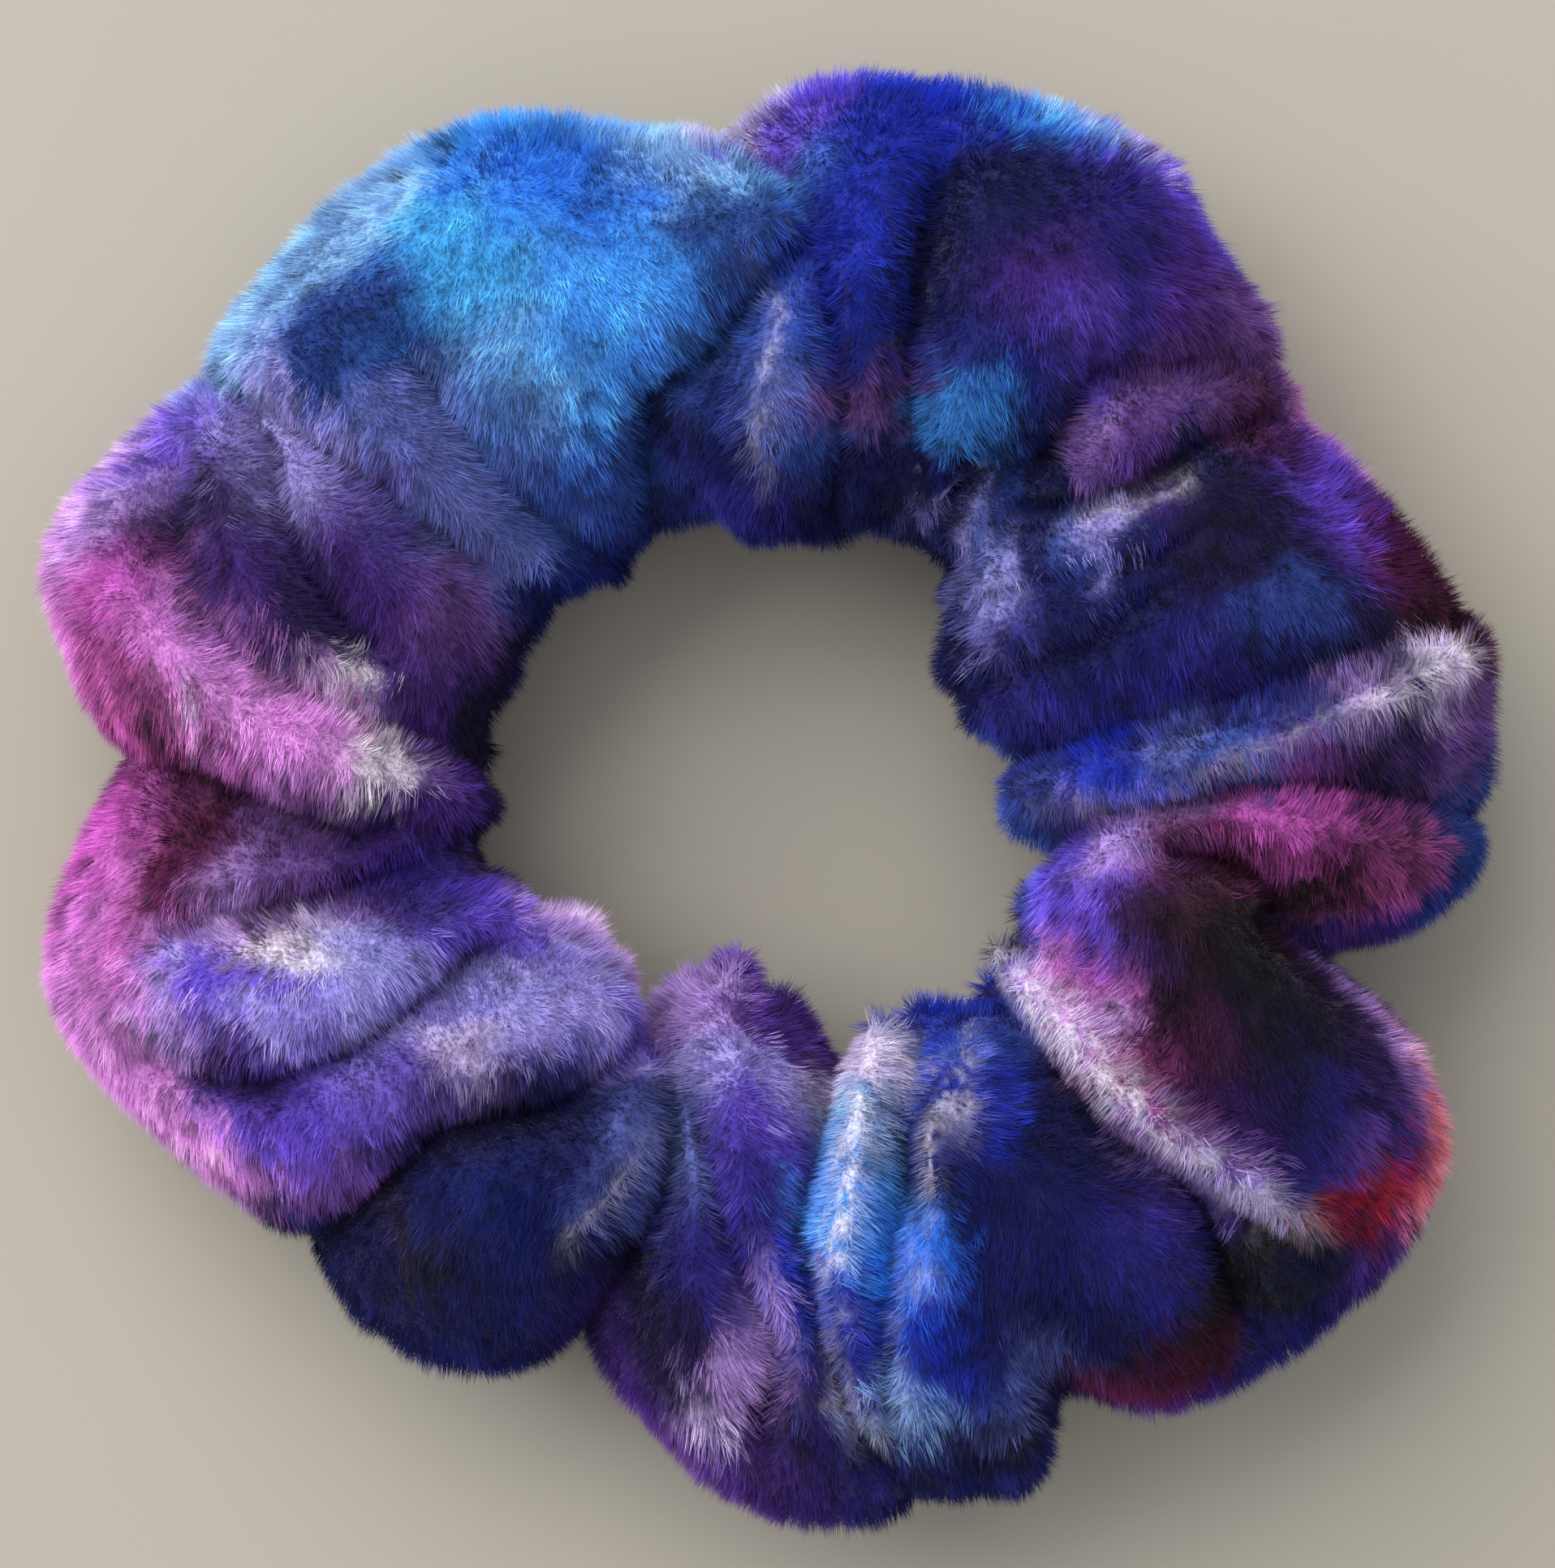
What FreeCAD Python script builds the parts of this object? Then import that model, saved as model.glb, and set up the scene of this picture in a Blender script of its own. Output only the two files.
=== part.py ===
"""Scrunchie: a gathered plush sleeve over a flat elastic loop, with the threads that sew it.

The ring lies flat, +Z up. The origin is on the surface it rests on, under the middle of its
outline. The sleeve is a soft part, so its solid is the outer shape of the gathered cloth
with the round casing inside it that the elastic lies in. The tube's own angle is measured
from its outer side, over the top, to the side that faces the hole.
"""

import FreeCAD, Part
import Sketcher

import math
import os

SIZES = [
    # The gathered ring as it lies
    ("outer_diameter", 107.0),
    ("hole_diameter", 34.0),
    ("ring_height", 31.0),
    ("pressed_depth", 1.2),  # how far its own weight presses the underside flat
    ("outer_gather", 4.0),  # how far a full fold stands out past the outer diameter
    ("hole_gather", 3.6),  # how far a full fold stands into the hole
    ("top_gather", 1.4),  # how far a full fold rises along the top
    # The gathered cloth and pile that lie between the casing and the outside
    ("hole_side_wall", 6.0),
    ("outer_side_wall", 12.5),  # the folds are deepest here
    ("top_wall", 5.0),
    # The elastic
    ("elastic_width", 6.0),
    ("elastic_thickness", 1.0),
    ("elastic_lap", 12.0),
    ("elastic_edge_radius", 0.3),
    # The threads
    ("thread_diameter", 0.3),
    ("seam_layers", 2.4),  # the two cloths between a needle thread and its bobbin thread
    ("long_seam_angle", 150.0),  # round the tube
    ("closing_seam_angle", 215.0),  # round the ring, from +X
    ("zigzag_width", 4.2),
    ("zigzag_pitch", 1.5),
    # Clearances
    ("seat_gap", 0.3),
    ("stitch_gap", 0.1),
]

# Sizes that follow from the ones above. The casing lies towards the hole, where the elastic
# pulls it. The elastic stands clear of the casing's wall by the threads that cross between
# them, each with a gap on both sides.
DERIVED = [
    ("half_height", "=(ring_height + pressed_depth) / 2"),
    ("middle_height", "=half_height - pressed_depth"),
    ("casing_depth", "=(outer_diameter - hole_diameter) / 2 - hole_side_wall - outer_side_wall"),
    ("casing_radius", "=min(casing_depth / 2; half_height - top_wall)"),
    ("tube_radius", "=hole_diameter / 2 + hole_side_wall + casing_radius"),
    ("thread_radius", "=thread_diameter / 2"),
    ("long_thread_circle", "=casing_radius - seat_gap - thread_radius"),
    ("closing_thread_circle", "=long_thread_circle - seat_gap - thread_diameter"),
    ("long_half_step", "=seam_layers / 2 / long_thread_circle * 180 / pi"),
    ("closing_half_step", "=seam_layers / 2 / tube_radius * 180 / pi"),
    ("casing_wall", "=tube_radius - sqrt(casing_radius ^ 2 - (elastic_width / 2) ^ 2)"),
    ("threads_depth", "=3 * (seat_gap + thread_diameter) + stitch_gap"),
    ("elastic_inner", "=casing_wall + threads_depth"),
    ("elastic_outer", "=elastic_inner + elastic_thickness"),
    ("elastic_low", "=middle_height - elastic_width / 2"),
    ("lap_outer", "=elastic_outer + elastic_thickness"),
    ("lap_angle", "=elastic_lap / elastic_outer * 180 / pi"),
    ("needle_circle", "=lap_outer + stitch_gap + thread_radius"),
    ("bobbin_circle", "=elastic_inner - stitch_gap - thread_radius"),
    ("zigzag_run", "=sqrt(zigzag_width ^ 2 + zigzag_pitch ^ 2)"),
    ("zigzag_runs", "=floor(elastic_lap / zigzag_pitch) - 1"),
]

# The sleeve's folds in turn round the ring: the angle from +X, then how far the fold stands
# out past the outer diameter, how far it stands into the hole, and its rise along the top,
# each as a share of its own gather size.
FOLDS = [
    (4, 0.3, 0.2, 0.2),
    (13, 0.6, -0.5, 0.6),
    (24, -0.4, -0.6, -0.7),
    (34, -1.0, -0.3, 0.1),
    (46, -0.1, -0.9, -0.4),
    (58, 1.0, -1.0, 0.8),
    (71, 1.0, -0.4, 0.9),
    (83, 0.4, -0.5, -0.3),
    (95, -0.8, -0.8, -0.9),
    (107, 0.1, -1.0, 0.4),
    (121, 0.9, -0.6, 0.8),
    (138, 0.3, -0.7, -0.6),
    (150, 0.3, -0.9, 0.3),
    (161, 1.0, -0.5, 0.7),
    (175, -1.2, 0.1, -0.9),
    (190, 0.4, -0.7, 0.5),
    (201, 0.9, 0.2, 0.8),
    (213, -0.4, 0.5, -0.4),
    (226, -1.1, 0.6, 0.2),
    (238, -0.8, 1.0, 0.5),
    (249, -2.2, 1.4, -1.0),
    (262, -0.9, 1.3, 0.0),
    (277, 0.5, 0.8, 0.8),
    (290, 0.3, 0.4, -0.6),
    (302, 0.5, 0.1, 0.2),
    (317, 1.5, -0.4, 1.0),
    (331, 1.4, -0.6, 0.5),
    (344, -2.3, -0.2, -1.2),
    (353, -0.5, 0.5, -0.3),
]

RING_STATIONS = 90
TUBE_STATIONS = 16
DEGREE = 3

doc = FreeCAD.newDocument("scrunchie")
sheet = doc.addObject("Spreadsheet::Sheet", "sizes")
for row, (alias, value) in enumerate(SIZES + DERIVED, 1):
    sheet.set(f"A{row}", alias)
    sheet.setAlias(f"B{row}", alias)
for row, (alias, value) in enumerate(SIZES + DERIVED, 1):
    sheet.set(f"B{row}", str(value))
doc.recompute()


def size(alias):
    """The number that the sheet holds under this alias."""
    return float(sheet.get(alias))


def bind(item, **expressions):
    """Binds each named property of the object to an expression on the sheet."""
    for name, expression in expressions.items():
        item.setExpression(name, expression)
    return item


def bind_place(item, east, north, up):
    """Binds the place of the object's own origin to three expressions on the sheet."""
    for axis, expression in zip("xyz", (east, north, up)):
        item.setExpression(f"Placement.Base.{axis}", expression)
    return item


# --- The plush sleeve -------------------------------------------------------------------


def fold_at(ring_angle):
    """The three offsets at a ring angle, eased from fold to fold by half a cosine wave."""
    angle = ring_angle + 360 if ring_angle < FOLDS[0][0] else ring_angle
    turns = FOLDS + [(FOLDS[0][0] + 360,) + FOLDS[0][1:]]
    for before, after in zip(turns, turns[1:]):
        if before[0] <= angle <= after[0]:
            share = (angle - before[0]) / (after[0] - before[0])
            ease = (1 - math.cos(math.pi * share)) / 2
            return [a + (b - a) * ease for a, b in zip(before[1:], after[1:])]


def sleeve_point(ring_angle, tube_angle):
    """A point of the gathered tube: an oval whose two ends and top follow the folds."""
    outward, inward, upward = fold_at(ring_angle)
    outer = size("outer_diameter") / 2 + outward * size("outer_gather")
    inner = size("hole_diameter") / 2 - inward * size("hole_gather")
    across = (outer + inner) / 2 + (outer - inner) / 2 * math.cos(tube_angle)
    up = size("half_height") * math.sin(tube_angle)
    if up > 0:
        up += upward * size("top_gather") * math.sin(tube_angle) ** 2
    turn = math.radians(ring_angle)
    east, north = across * math.cos(turn), across * math.sin(turn)
    return FreeCAD.Vector(east, north, size("middle_height") + up)


def gathered_tube():
    """The solid inside a smooth skin, from one edge of its flat underside over to the other.

    The skin closes round the ring. Its two edges lie on the floor, and the flat ring between
    them closes the solid.
    """
    rest_angle = -math.asin(size("middle_height") / size("half_height"))
    sweep = math.pi - 2 * rest_angle
    steps = TUBE_STATIONS - 1
    tube_angles = [rest_angle + sweep * j / steps for j in range(TUBE_STATIONS)]
    poles = [
        [sleeve_point(360 * i / RING_STATIONS, angle) for angle in tube_angles]
        for i in range(RING_STATIONS)
    ]
    inner_knots = TUBE_STATIONS - DEGREE - 1
    surface = Part.BSplineSurface()
    surface.buildFromPolesMultsKnots(
        poles,
        [1] * (RING_STATIONS + 1),
        [DEGREE + 1] + [1] * inner_knots + [DEGREE + 1],
        list(range(RING_STATIONS + 1)),
        list(range(inner_knots + 2)),
        True,
        False,
        DEGREE,
        DEGREE,
    )
    skin = surface.toShape()
    rims = [edge for edge in skin.Edges if edge.BoundBox.ZLength < size("stitch_gap")]
    rims.sort(key=lambda edge: edge.Length, reverse=True)
    underside = Part.Face([Part.Wire([rim]) for rim in rims])
    shell = Part.Shell([skin, underside])
    shell.sewShape()
    solid = Part.Solid(shell)
    if solid.Volume < 0:
        solid.reverse()
    return solid


def plush_sleeve():
    """The gathered tube with its round casing taken out."""
    outside = doc.addObject("Part::Feature", "gathered_outside")
    outside.Shape = gathered_tube()
    casing = doc.addObject("Part::Torus", "casing")
    bind(casing, Radius1="sizes.tube_radius", Radius2="sizes.casing_radius")
    bind_place(casing, "0", "0", "sizes.middle_height")
    sleeve = doc.addObject("Part::Cut", "sleeve")
    sleeve.Base = outside
    sleeve.Tool = casing
    return sleeve


# --- The elastic loop -------------------------------------------------------------------


def band_section(body, name, inner):
    """A sketch of the band's upright section, its inner face at the radius named inner."""
    sketch = body.newObject("Sketcher::SketchObject", name)
    plane = next(f for f in body.Origin.OriginFeatures if f.Role == "XZ_Plane")
    sketch.AttachmentSupport = [(plane, "")]
    sketch.MapMode = "FlatFace"
    corners = [(1, 0), (2, 0), (2, 1), (1, 1)]
    points = [FreeCAD.Vector(x, y, 0) for x, y in corners]
    for start, end in zip(points, points[1:] + points[:1]):
        sketch.addGeometry(Part.LineSegment(start, end), False)
    for side in range(4):
        following = (side + 1) % 4
        sketch.addConstraint(Sketcher.Constraint("Coincident", side, 2, following, 1))
        level = "Vertical" if side % 2 else "Horizontal"
        sketch.addConstraint(Sketcher.Constraint(level, side))
    for label, kind, ends, value, expression in (
        ("inner", "DistanceX", (-1, 1, 0, 1), 1.0, f"sizes.{inner}"),
        ("low", "DistanceY", (-1, 1, 0, 1), 1.0, "sizes.elastic_low"),
        ("thickness", "DistanceX", (0, 1, 0, 2), 1.0, "sizes.elastic_thickness"),
        ("width", "DistanceY", (1, 1, 1, 2), 1.0, "sizes.elastic_width"),
    ):
        index = sketch.addConstraint(Sketcher.Constraint(kind, *ends, value))
        sketch.renameConstraint(index, label)
        sketch.setExpression(f"Constraints.{label}", expression)
    return sketch


def turned(body, name, sketch):
    """A revolution of the sketch about the ring's own axis."""
    turning = body.newObject("PartDesign::Revolution", name)
    turning.Profile = sketch
    turning.ReferenceAxis = (sketch, ["V_Axis"])
    return turning


def elastic_band():
    """The loop with rounded edges, and the end of the strip lapped over its outer face."""
    body = doc.addObject("PartDesign::Body", "band")
    loop = turned(body, "loop", band_section(body, "loop_section", "elastic_inner"))
    loop.Angle = 360
    doc.recompute()
    edges = body.newObject("PartDesign::Fillet", "soft_edges")
    edges.Base = (loop, [f"Edge{i + 1}" for i in range(len(loop.Shape.Edges))])
    bind(edges, Radius="sizes.elastic_edge_radius")
    doc.recompute()
    lap = turned(body, "lap", band_section(body, "lap_section", "elastic_outer"))
    bind(lap, Angle="sizes.lap_angle")
    return body


def zigzag_thread(name, circle):
    """A zigzag of thread on the lap, at the radius named circle: straight runs and bends."""
    pitch, half = size("zigzag_pitch"), size("zigzag_width") / 2
    runs = int(size("zigzag_runs"))
    tilt = math.degrees(math.atan2(pitch, 2 * half))
    radius = size(circle)
    step = math.degrees(pitch / radius)
    first = size("lap_angle") / 2 - step * runs / 2
    pieces = []
    for bend in range(runs + 1):
        rises = bend % 2 == 0
        ball = bind(doc.addObject("Part::Sphere", f"{name}_bend"), Radius="sizes.thread_radius")
        turn = math.radians(first + step * bend)
        place = FreeCAD.Vector(radius * math.cos(turn), radius * math.sin(turn), 0)
        place.z = size("middle_height") + (-half if rises else half)
        ball.Placement.Base = place
        pieces.append(ball)
        if bend == runs:
            break
        run = doc.addObject("Part::Cylinder", f"{name}_run")
        bind(run, Radius="sizes.thread_radius", Height="sizes.zigzag_run")
        lean = -tilt if rises else tilt + 180
        upright = FreeCAD.Rotation(FreeCAD.Vector(0, 0, 1), first + step * (bend + 0.5))
        leaning = FreeCAD.Rotation(FreeCAD.Vector(1, 0, 0), lean)
        run.Placement = FreeCAD.Placement(place, upright * leaning)
        pieces.append(run)
    thread = doc.addObject("Part::MultiFuse", name)
    thread.Shapes = pieces
    return thread


# --- The seam threads -------------------------------------------------------------------


def long_seam_thread(name, side):
    """A ring of thread along the casing's wall, one side of the long seam's two cloths."""
    thread = doc.addObject("Part::Torus", name)
    angle = f"sizes.long_seam_angle + {side} * sizes.long_half_step"
    across = f"sizes.long_thread_circle * cos({angle})"
    bind(thread, Radius1=f"sizes.tube_radius + {across}", Radius2="sizes.thread_radius")
    rise = f"sizes.long_thread_circle * sin({angle})"
    bind_place(thread, "0", "0", f"sizes.middle_height + {rise}")
    return thread


def closing_seam_thread(name, side):
    """A ring of thread round the casing, upright across the tube, inside the long seam's."""
    thread = doc.addObject("Part::Torus", name)
    bind(thread, Radius1="sizes.closing_thread_circle", Radius2="sizes.thread_radius")
    angle = size("closing_seam_angle") + side * size("closing_half_step")
    toward_middle = FreeCAD.Rotation(FreeCAD.Vector(0, 0, 1), angle)
    on_edge = FreeCAD.Rotation(FreeCAD.Vector(1, 0, 0), 90)
    thread.Placement.Rotation = toward_middle * on_edge
    angle = f"(sizes.closing_seam_angle + {side} * sizes.closing_half_step)"
    east = f"sizes.tube_radius * cos({angle})"
    north = f"sizes.tube_radius * sin({angle})"
    bind_place(thread, east, north, "sizes.middle_height")
    return thread


# --- The model and its files ------------------------------------------------------------

PIECES = {
    "plush_sleeve": plush_sleeve(),
    "elastic_band": elastic_band(),
    "elastic_join_needle_thread": zigzag_thread("needle_zigzag", "needle_circle"),
    "elastic_join_bobbin_thread": zigzag_thread("bobbin_zigzag", "bobbin_circle"),
    "long_seam_needle_thread": long_seam_thread("long_needle", -1),
    "long_seam_bobbin_thread": long_seam_thread("long_bobbin", 1),
    "closing_seam_needle_thread": closing_seam_thread("closing_needle", -1),
    "closing_seam_bobbin_thread": closing_seam_thread("closing_bobbin", 1),
}
for node, piece in PIECES.items():
    piece.Label = node
doc.recompute()

for item in doc.Objects:
    if {"Invalid", "Error"} & set(item.State):
        raise RuntimeError(f"{item.Name} did not build: {item.State}")
for node, piece in PIECES.items():
    if piece.Shape.isNull() or not piece.Shape.isValid():
        raise RuntimeError(f"{node} has no sound shape")

os.makedirs("parts", exist_ok=True)
for node, piece in PIECES.items():
    piece.Shape.exportStep(f"parts/{node}.step")
    box = piece.Shape.BoundBox
    print(
        f"{node}: {len(piece.Shape.Solids)} solid, {piece.Shape.Volume:.1f} mm3, "
        f"x {box.XMin:.2f} to {box.XMax:.2f}, y {box.YMin:.2f} to {box.YMax:.2f}, "
        f"z {box.ZMin:.2f} to {box.ZMax:.2f}"
    )
strip = 2 * math.pi * size("elastic_outer") + size("elastic_lap")
print(f"elastic cut length {strip:.0f} mm")
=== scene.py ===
"""Plush scrunchie: the gathered cloth, its dyed pile, and the finish of what it holds inside.

A place on the cloth is given by two angles. The ring angle goes round the ring from +X
towards +Y. The tube angle goes round the gathered tube from its outer side, over the top,
to the side that faces the hole and back underneath. A share across is the place between
the hole's edge, 0, and the outer edge, 1, as the ring is seen from above.
"""

import math

import bpy
import numpy as np
from bpy.props import FloatProperty, FloatVectorProperty, IntProperty, PointerProperty
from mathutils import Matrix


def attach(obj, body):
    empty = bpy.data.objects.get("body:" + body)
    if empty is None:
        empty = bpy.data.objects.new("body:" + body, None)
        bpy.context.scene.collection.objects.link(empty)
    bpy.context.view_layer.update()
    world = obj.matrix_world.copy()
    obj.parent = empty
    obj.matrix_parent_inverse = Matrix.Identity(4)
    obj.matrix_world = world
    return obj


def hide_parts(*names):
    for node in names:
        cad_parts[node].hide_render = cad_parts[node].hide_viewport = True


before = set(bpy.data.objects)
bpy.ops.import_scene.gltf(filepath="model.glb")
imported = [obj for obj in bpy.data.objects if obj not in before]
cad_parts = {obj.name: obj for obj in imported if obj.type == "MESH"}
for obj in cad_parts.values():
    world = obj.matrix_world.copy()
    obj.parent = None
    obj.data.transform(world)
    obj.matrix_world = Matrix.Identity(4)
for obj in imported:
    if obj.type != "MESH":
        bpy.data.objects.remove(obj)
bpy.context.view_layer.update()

bl_info = {
    "name": "Plush Scrunchie",
    "version": (1, 0, 0),
    "blender": (4, 5, 0),
    "location": "3D View > Sidebar > Scrunchie",
    "description": "Builds the gathered plush cloth, the dyed pile and the stage of a scrunchie",
    "category": "Object",
}

MM = 0.001

# --- The shape of the gathered ring ------------------------------------------------------

# The outer edge of the pile: ring angle in degrees, radius in millimetres.
OUTER_EDGE = [
    (8, 54.2), (12, 55.2), (21, 52.0), (27, 50.8), (33, 49.9), (38, 50.9), (45, 52.1),
    (52, 53.5), (58, 56.1), (66, 56.1), (74, 55.2), (87, 53.6), (95, 50.6), (103, 51.8),
    (113, 55.1), (118, 55.6), (128, 55.2), (138, 54.2), (142, 53.9), (151, 55.1),
    (157, 56.8), (162, 56.8), (169, 53.2), (176, 50.0), (184, 51.8), (189, 54.1),
    (195, 55.6), (201, 54.7), (208, 52.3), (219, 49.1), (225, 48.8), (231, 49.1),
    (241, 48.1), (246, 46.0), (250, 43.0), (254, 44.5), (261, 48.6), (270, 52.8),
    (280, 54.2), (286, 53.8), (293, 52.7), (294, 50.8), (304, 54.1), (317, 56.9),
    (328, 57.5), (333, 56.4), (338, 52.5), (344, 44.8), (346, 44.6), (349, 48.3),
    (356, 53.5), (359, 54.1),
]

# The edge of the hole in the same way.
HOLE_EDGE = [
    (10, 13.1), (25, 13.9), (48, 17.0), (55, 20.6), (60, 24.2), (65, 21.2), (75, 18.0),
    (95, 18.2), (113, 19.6), (117, 18.2), (135, 18.7), (150, 20.2), (161, 19.8), (178, 18.0),
    (187, 19.7), (203, 16.9), (214, 15.1), (236, 12.8), (253, 10.3), (270, 12.2),
    (287, 14.8), (290, 15.7), (318, 17.9), (331, 19.7), (337, 18.6), (347, 16.6), (355, 14.4),
]

# Creases between the folds: places (ring angle, share across), the depth in millimetres,
# then how far the crease's two slopes reach, towards smaller and towards larger ring
# angles. The fold on the side with the short slope lies over its neighbour.
CREASES = [
    ([(113, 0), (107, 0.3), (98, 0.45), (86, 0.67), (89, 0.84), (95, 1)], 7.5, 7.0, 3.0),
    ([(77, 0), (80, 0.3), (86, 0.67)], 4.5, 3.5, 3.5),
    ([(63, 0), (74, 0.54), (75, 0.75)], 7.5, 3.0, 5.5),
    ([(60, 0), (52, 0.4), (54, 0.54), (48, 0.78), (40, 1)], 7.5, 6.5, 3.2),
    ([(50, 0.23), (41, 0.55), (41, 0.71), (36, 1)], 6.0, 6.0, 2.6),
    ([(44, 0.1), (33, 0.52)], 2.5, 5.0, 2.5),
    ([(29, 0.11), (27, 0.28), (29, 0.45)], 2.0, 3.5, 3.5),
    ([(8, 0.0), (12, 0.49), (14, 0.72), (15, 1)], 5.5, 2.6, 6.0),
    ([(346, 0), (358, 0.25), (2, 0.51), (0, 0.83), (359, 1)], 8.0, 3.0, 5.5),
    ([(344, 1), (346, 0.83), (353, 0.48)], 9.0, 4.0, 5.0),
    ([(322, 0), (316, 0.39), (320, 0.77)], 6.5, 6.5, 2.6),
    ([(317, 0.62), (315, 0.78), (313, 0.9)], 9.5, 4.5, 4.0),
    ([(290, 0), (274, 0.44), (279, 0.88), (283, 1)], 6.5, 5.0, 3.0),
    ([(302, 0.05), (291, 0.29), (282, 0.58), (281, 0.73)], 5.0, 3.0, 3.0),
    ([(249, 0.18), (271, 0.65), (269, 0.83)], 5.5, 4.5, 3.5),
    ([(236, 0), (249, 0.18), (255, 0.51), (250, 1)], 8.0, 4.5, 4.0),
    ([(240, 0.16), (234, 0.34), (224, 0.54), (224, 0.84), (222, 1)], 8.5, 2.8, 7.0),
    ([(206, 0.15), (210, 0.48), (208, 0.72), (202, 0.87)], 6.0, 2.6, 6.0),
    ([(187, 0), (191, 0.38), (191, 0.58)], 7.0, 2.6, 5.0),
    ([(183, 0.28), (181, 0.44), (177, 0.73), (175, 1)], 8.5, 2.8, 6.5),
    ([(171, 0), (169, 0.29), (165, 0.52), (150, 0.91)], 6.0, 5.5, 3.8),
    ([(158, 0.33), (145, 0.73), (143, 0.91)], 6.0, 3.5, 3.5),
    ([(136, 0), (140, 0.23), (142, 0.87), (143, 1)], 5.5, 3.0, 5.0),
    ([(121, 0), (130, 0.29), (129, 0.52)], 4.5, 5.0, 5.0),
]

# Sharp crests, where the pile parts and its white roots show: places (ring angle, share
# across, how much white shows), then the rise and the parting's half width in millimetres.
CRESTS = [
    ([(326, 0, 0.5), (323, 0.19, 0.9), (320, 0.38, 0.8), (321, 0.6, 0.6), (321, 0.77, 0.4)], 2.4, 1.3),
    (
        [(300, 0.03, 0.6), (285, 0.25, 0.7), (278, 0.46, 0.8), (277, 0.63, 0.7), (278, 0.83, 0.4)],
        2.4,
        1.0,
    ),
    ([(314, 0.08, 0.2), (294, 0.36, 0.5), (284, 0.58, 0.5), (282, 0.73, 0.6)], 1.8, 0.7),
    ([(358, 0.1, 0.1), (0, 0.3, 0.2), (7, 0.56, 0.4), (10, 0.71, 0.7), (12, 0.9, 0.9)], 2.8, 0.9),
    ([(92, 0.16, 0.2), (90, 0.35, 0.4), (89, 0.5, 0.3), (92, 0.62, 0.1)], 0.6, 0.6),
    ([(43, 0.36, 0.1), (41, 0.48, 0.5), (38, 0.62, 0.3)], 0.8, 0.8),
    ([(250, 0.45, 0.1), (247, 0.56, 0.5), (246, 0.64, 0.2)], 0.5, 0.7),
]

# Broad folds that swell above their neighbours: ring angle, share across, rise in
# millimetres, reach round the ring and reach across it, both in millimetres.
SWELLS = [
    (112, 0.6, 1.6, 16, 14), (62, 0.7, 1.8, 12, 12), (35, 0.4, -1.0, 12, 12),
    (165, 0.75, 1.6, 10, 12), (170, 0.3, 1.6, 6, 9), (188, 0.85, -1.5, 9, 8),
    (200, 0.5, 1.2, 9, 14), (216, 0.5, 1.8, 9, 16), (236, 0.8, -1.5, 10, 8),
    (264, 0.75, 1.2, 7, 12), (305, 0.45, 1.2, 12, 14), (336, 0.45, 1.8, 10, 12),
    (353, 0.6, 1.4, 6, 10), (15, 0.9, 1.0, 6, 8),
]

# --- The dye -----------------------------------------------------------------------------

# Each dye as it looks on the pile: red, green and blue from 0 to 255.
DYES = {
    "white": (252, 242, 254),
    "shell": (226, 208, 250),
    "pale_sky": (152, 200, 255),
    "teal_sky": (118, 186, 248),
    "azure": (68, 160, 255),
    "cyan": (68, 176, 244),
    "royal_sky": (32, 122, 252),
    "royal": (14, 42, 182),
    "steel": (56, 88, 182),
    "slate": (30, 64, 148),
    "grey_blue": (104, 116, 196),
    "deep_blue": (6, 24, 108),
    "navy": (5, 10, 84),
    "indigo": (34, 26, 128),
    "periwinkle": (176, 172, 250),
    "lavender": (182, 170, 250),
    "lilac": (202, 162, 242),
    "violet": (106, 74, 214),
    "deep_violet": (21, 4, 62),
    "purple": (68, 32, 128),
    "dusk": (116, 74, 154),
    "magenta": (204, 92, 194),
    "mauve": (186, 84, 162),
    "pink": (232, 150, 238),
    "wine": (74, 3, 50),
    "maroon": (34, 2, 24),
    "crimson": (148, 4, 30),
    "coral": (250, 138, 152),
    "brick": (116, 32, 80),
    "black": (3, 2, 6),
}

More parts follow.
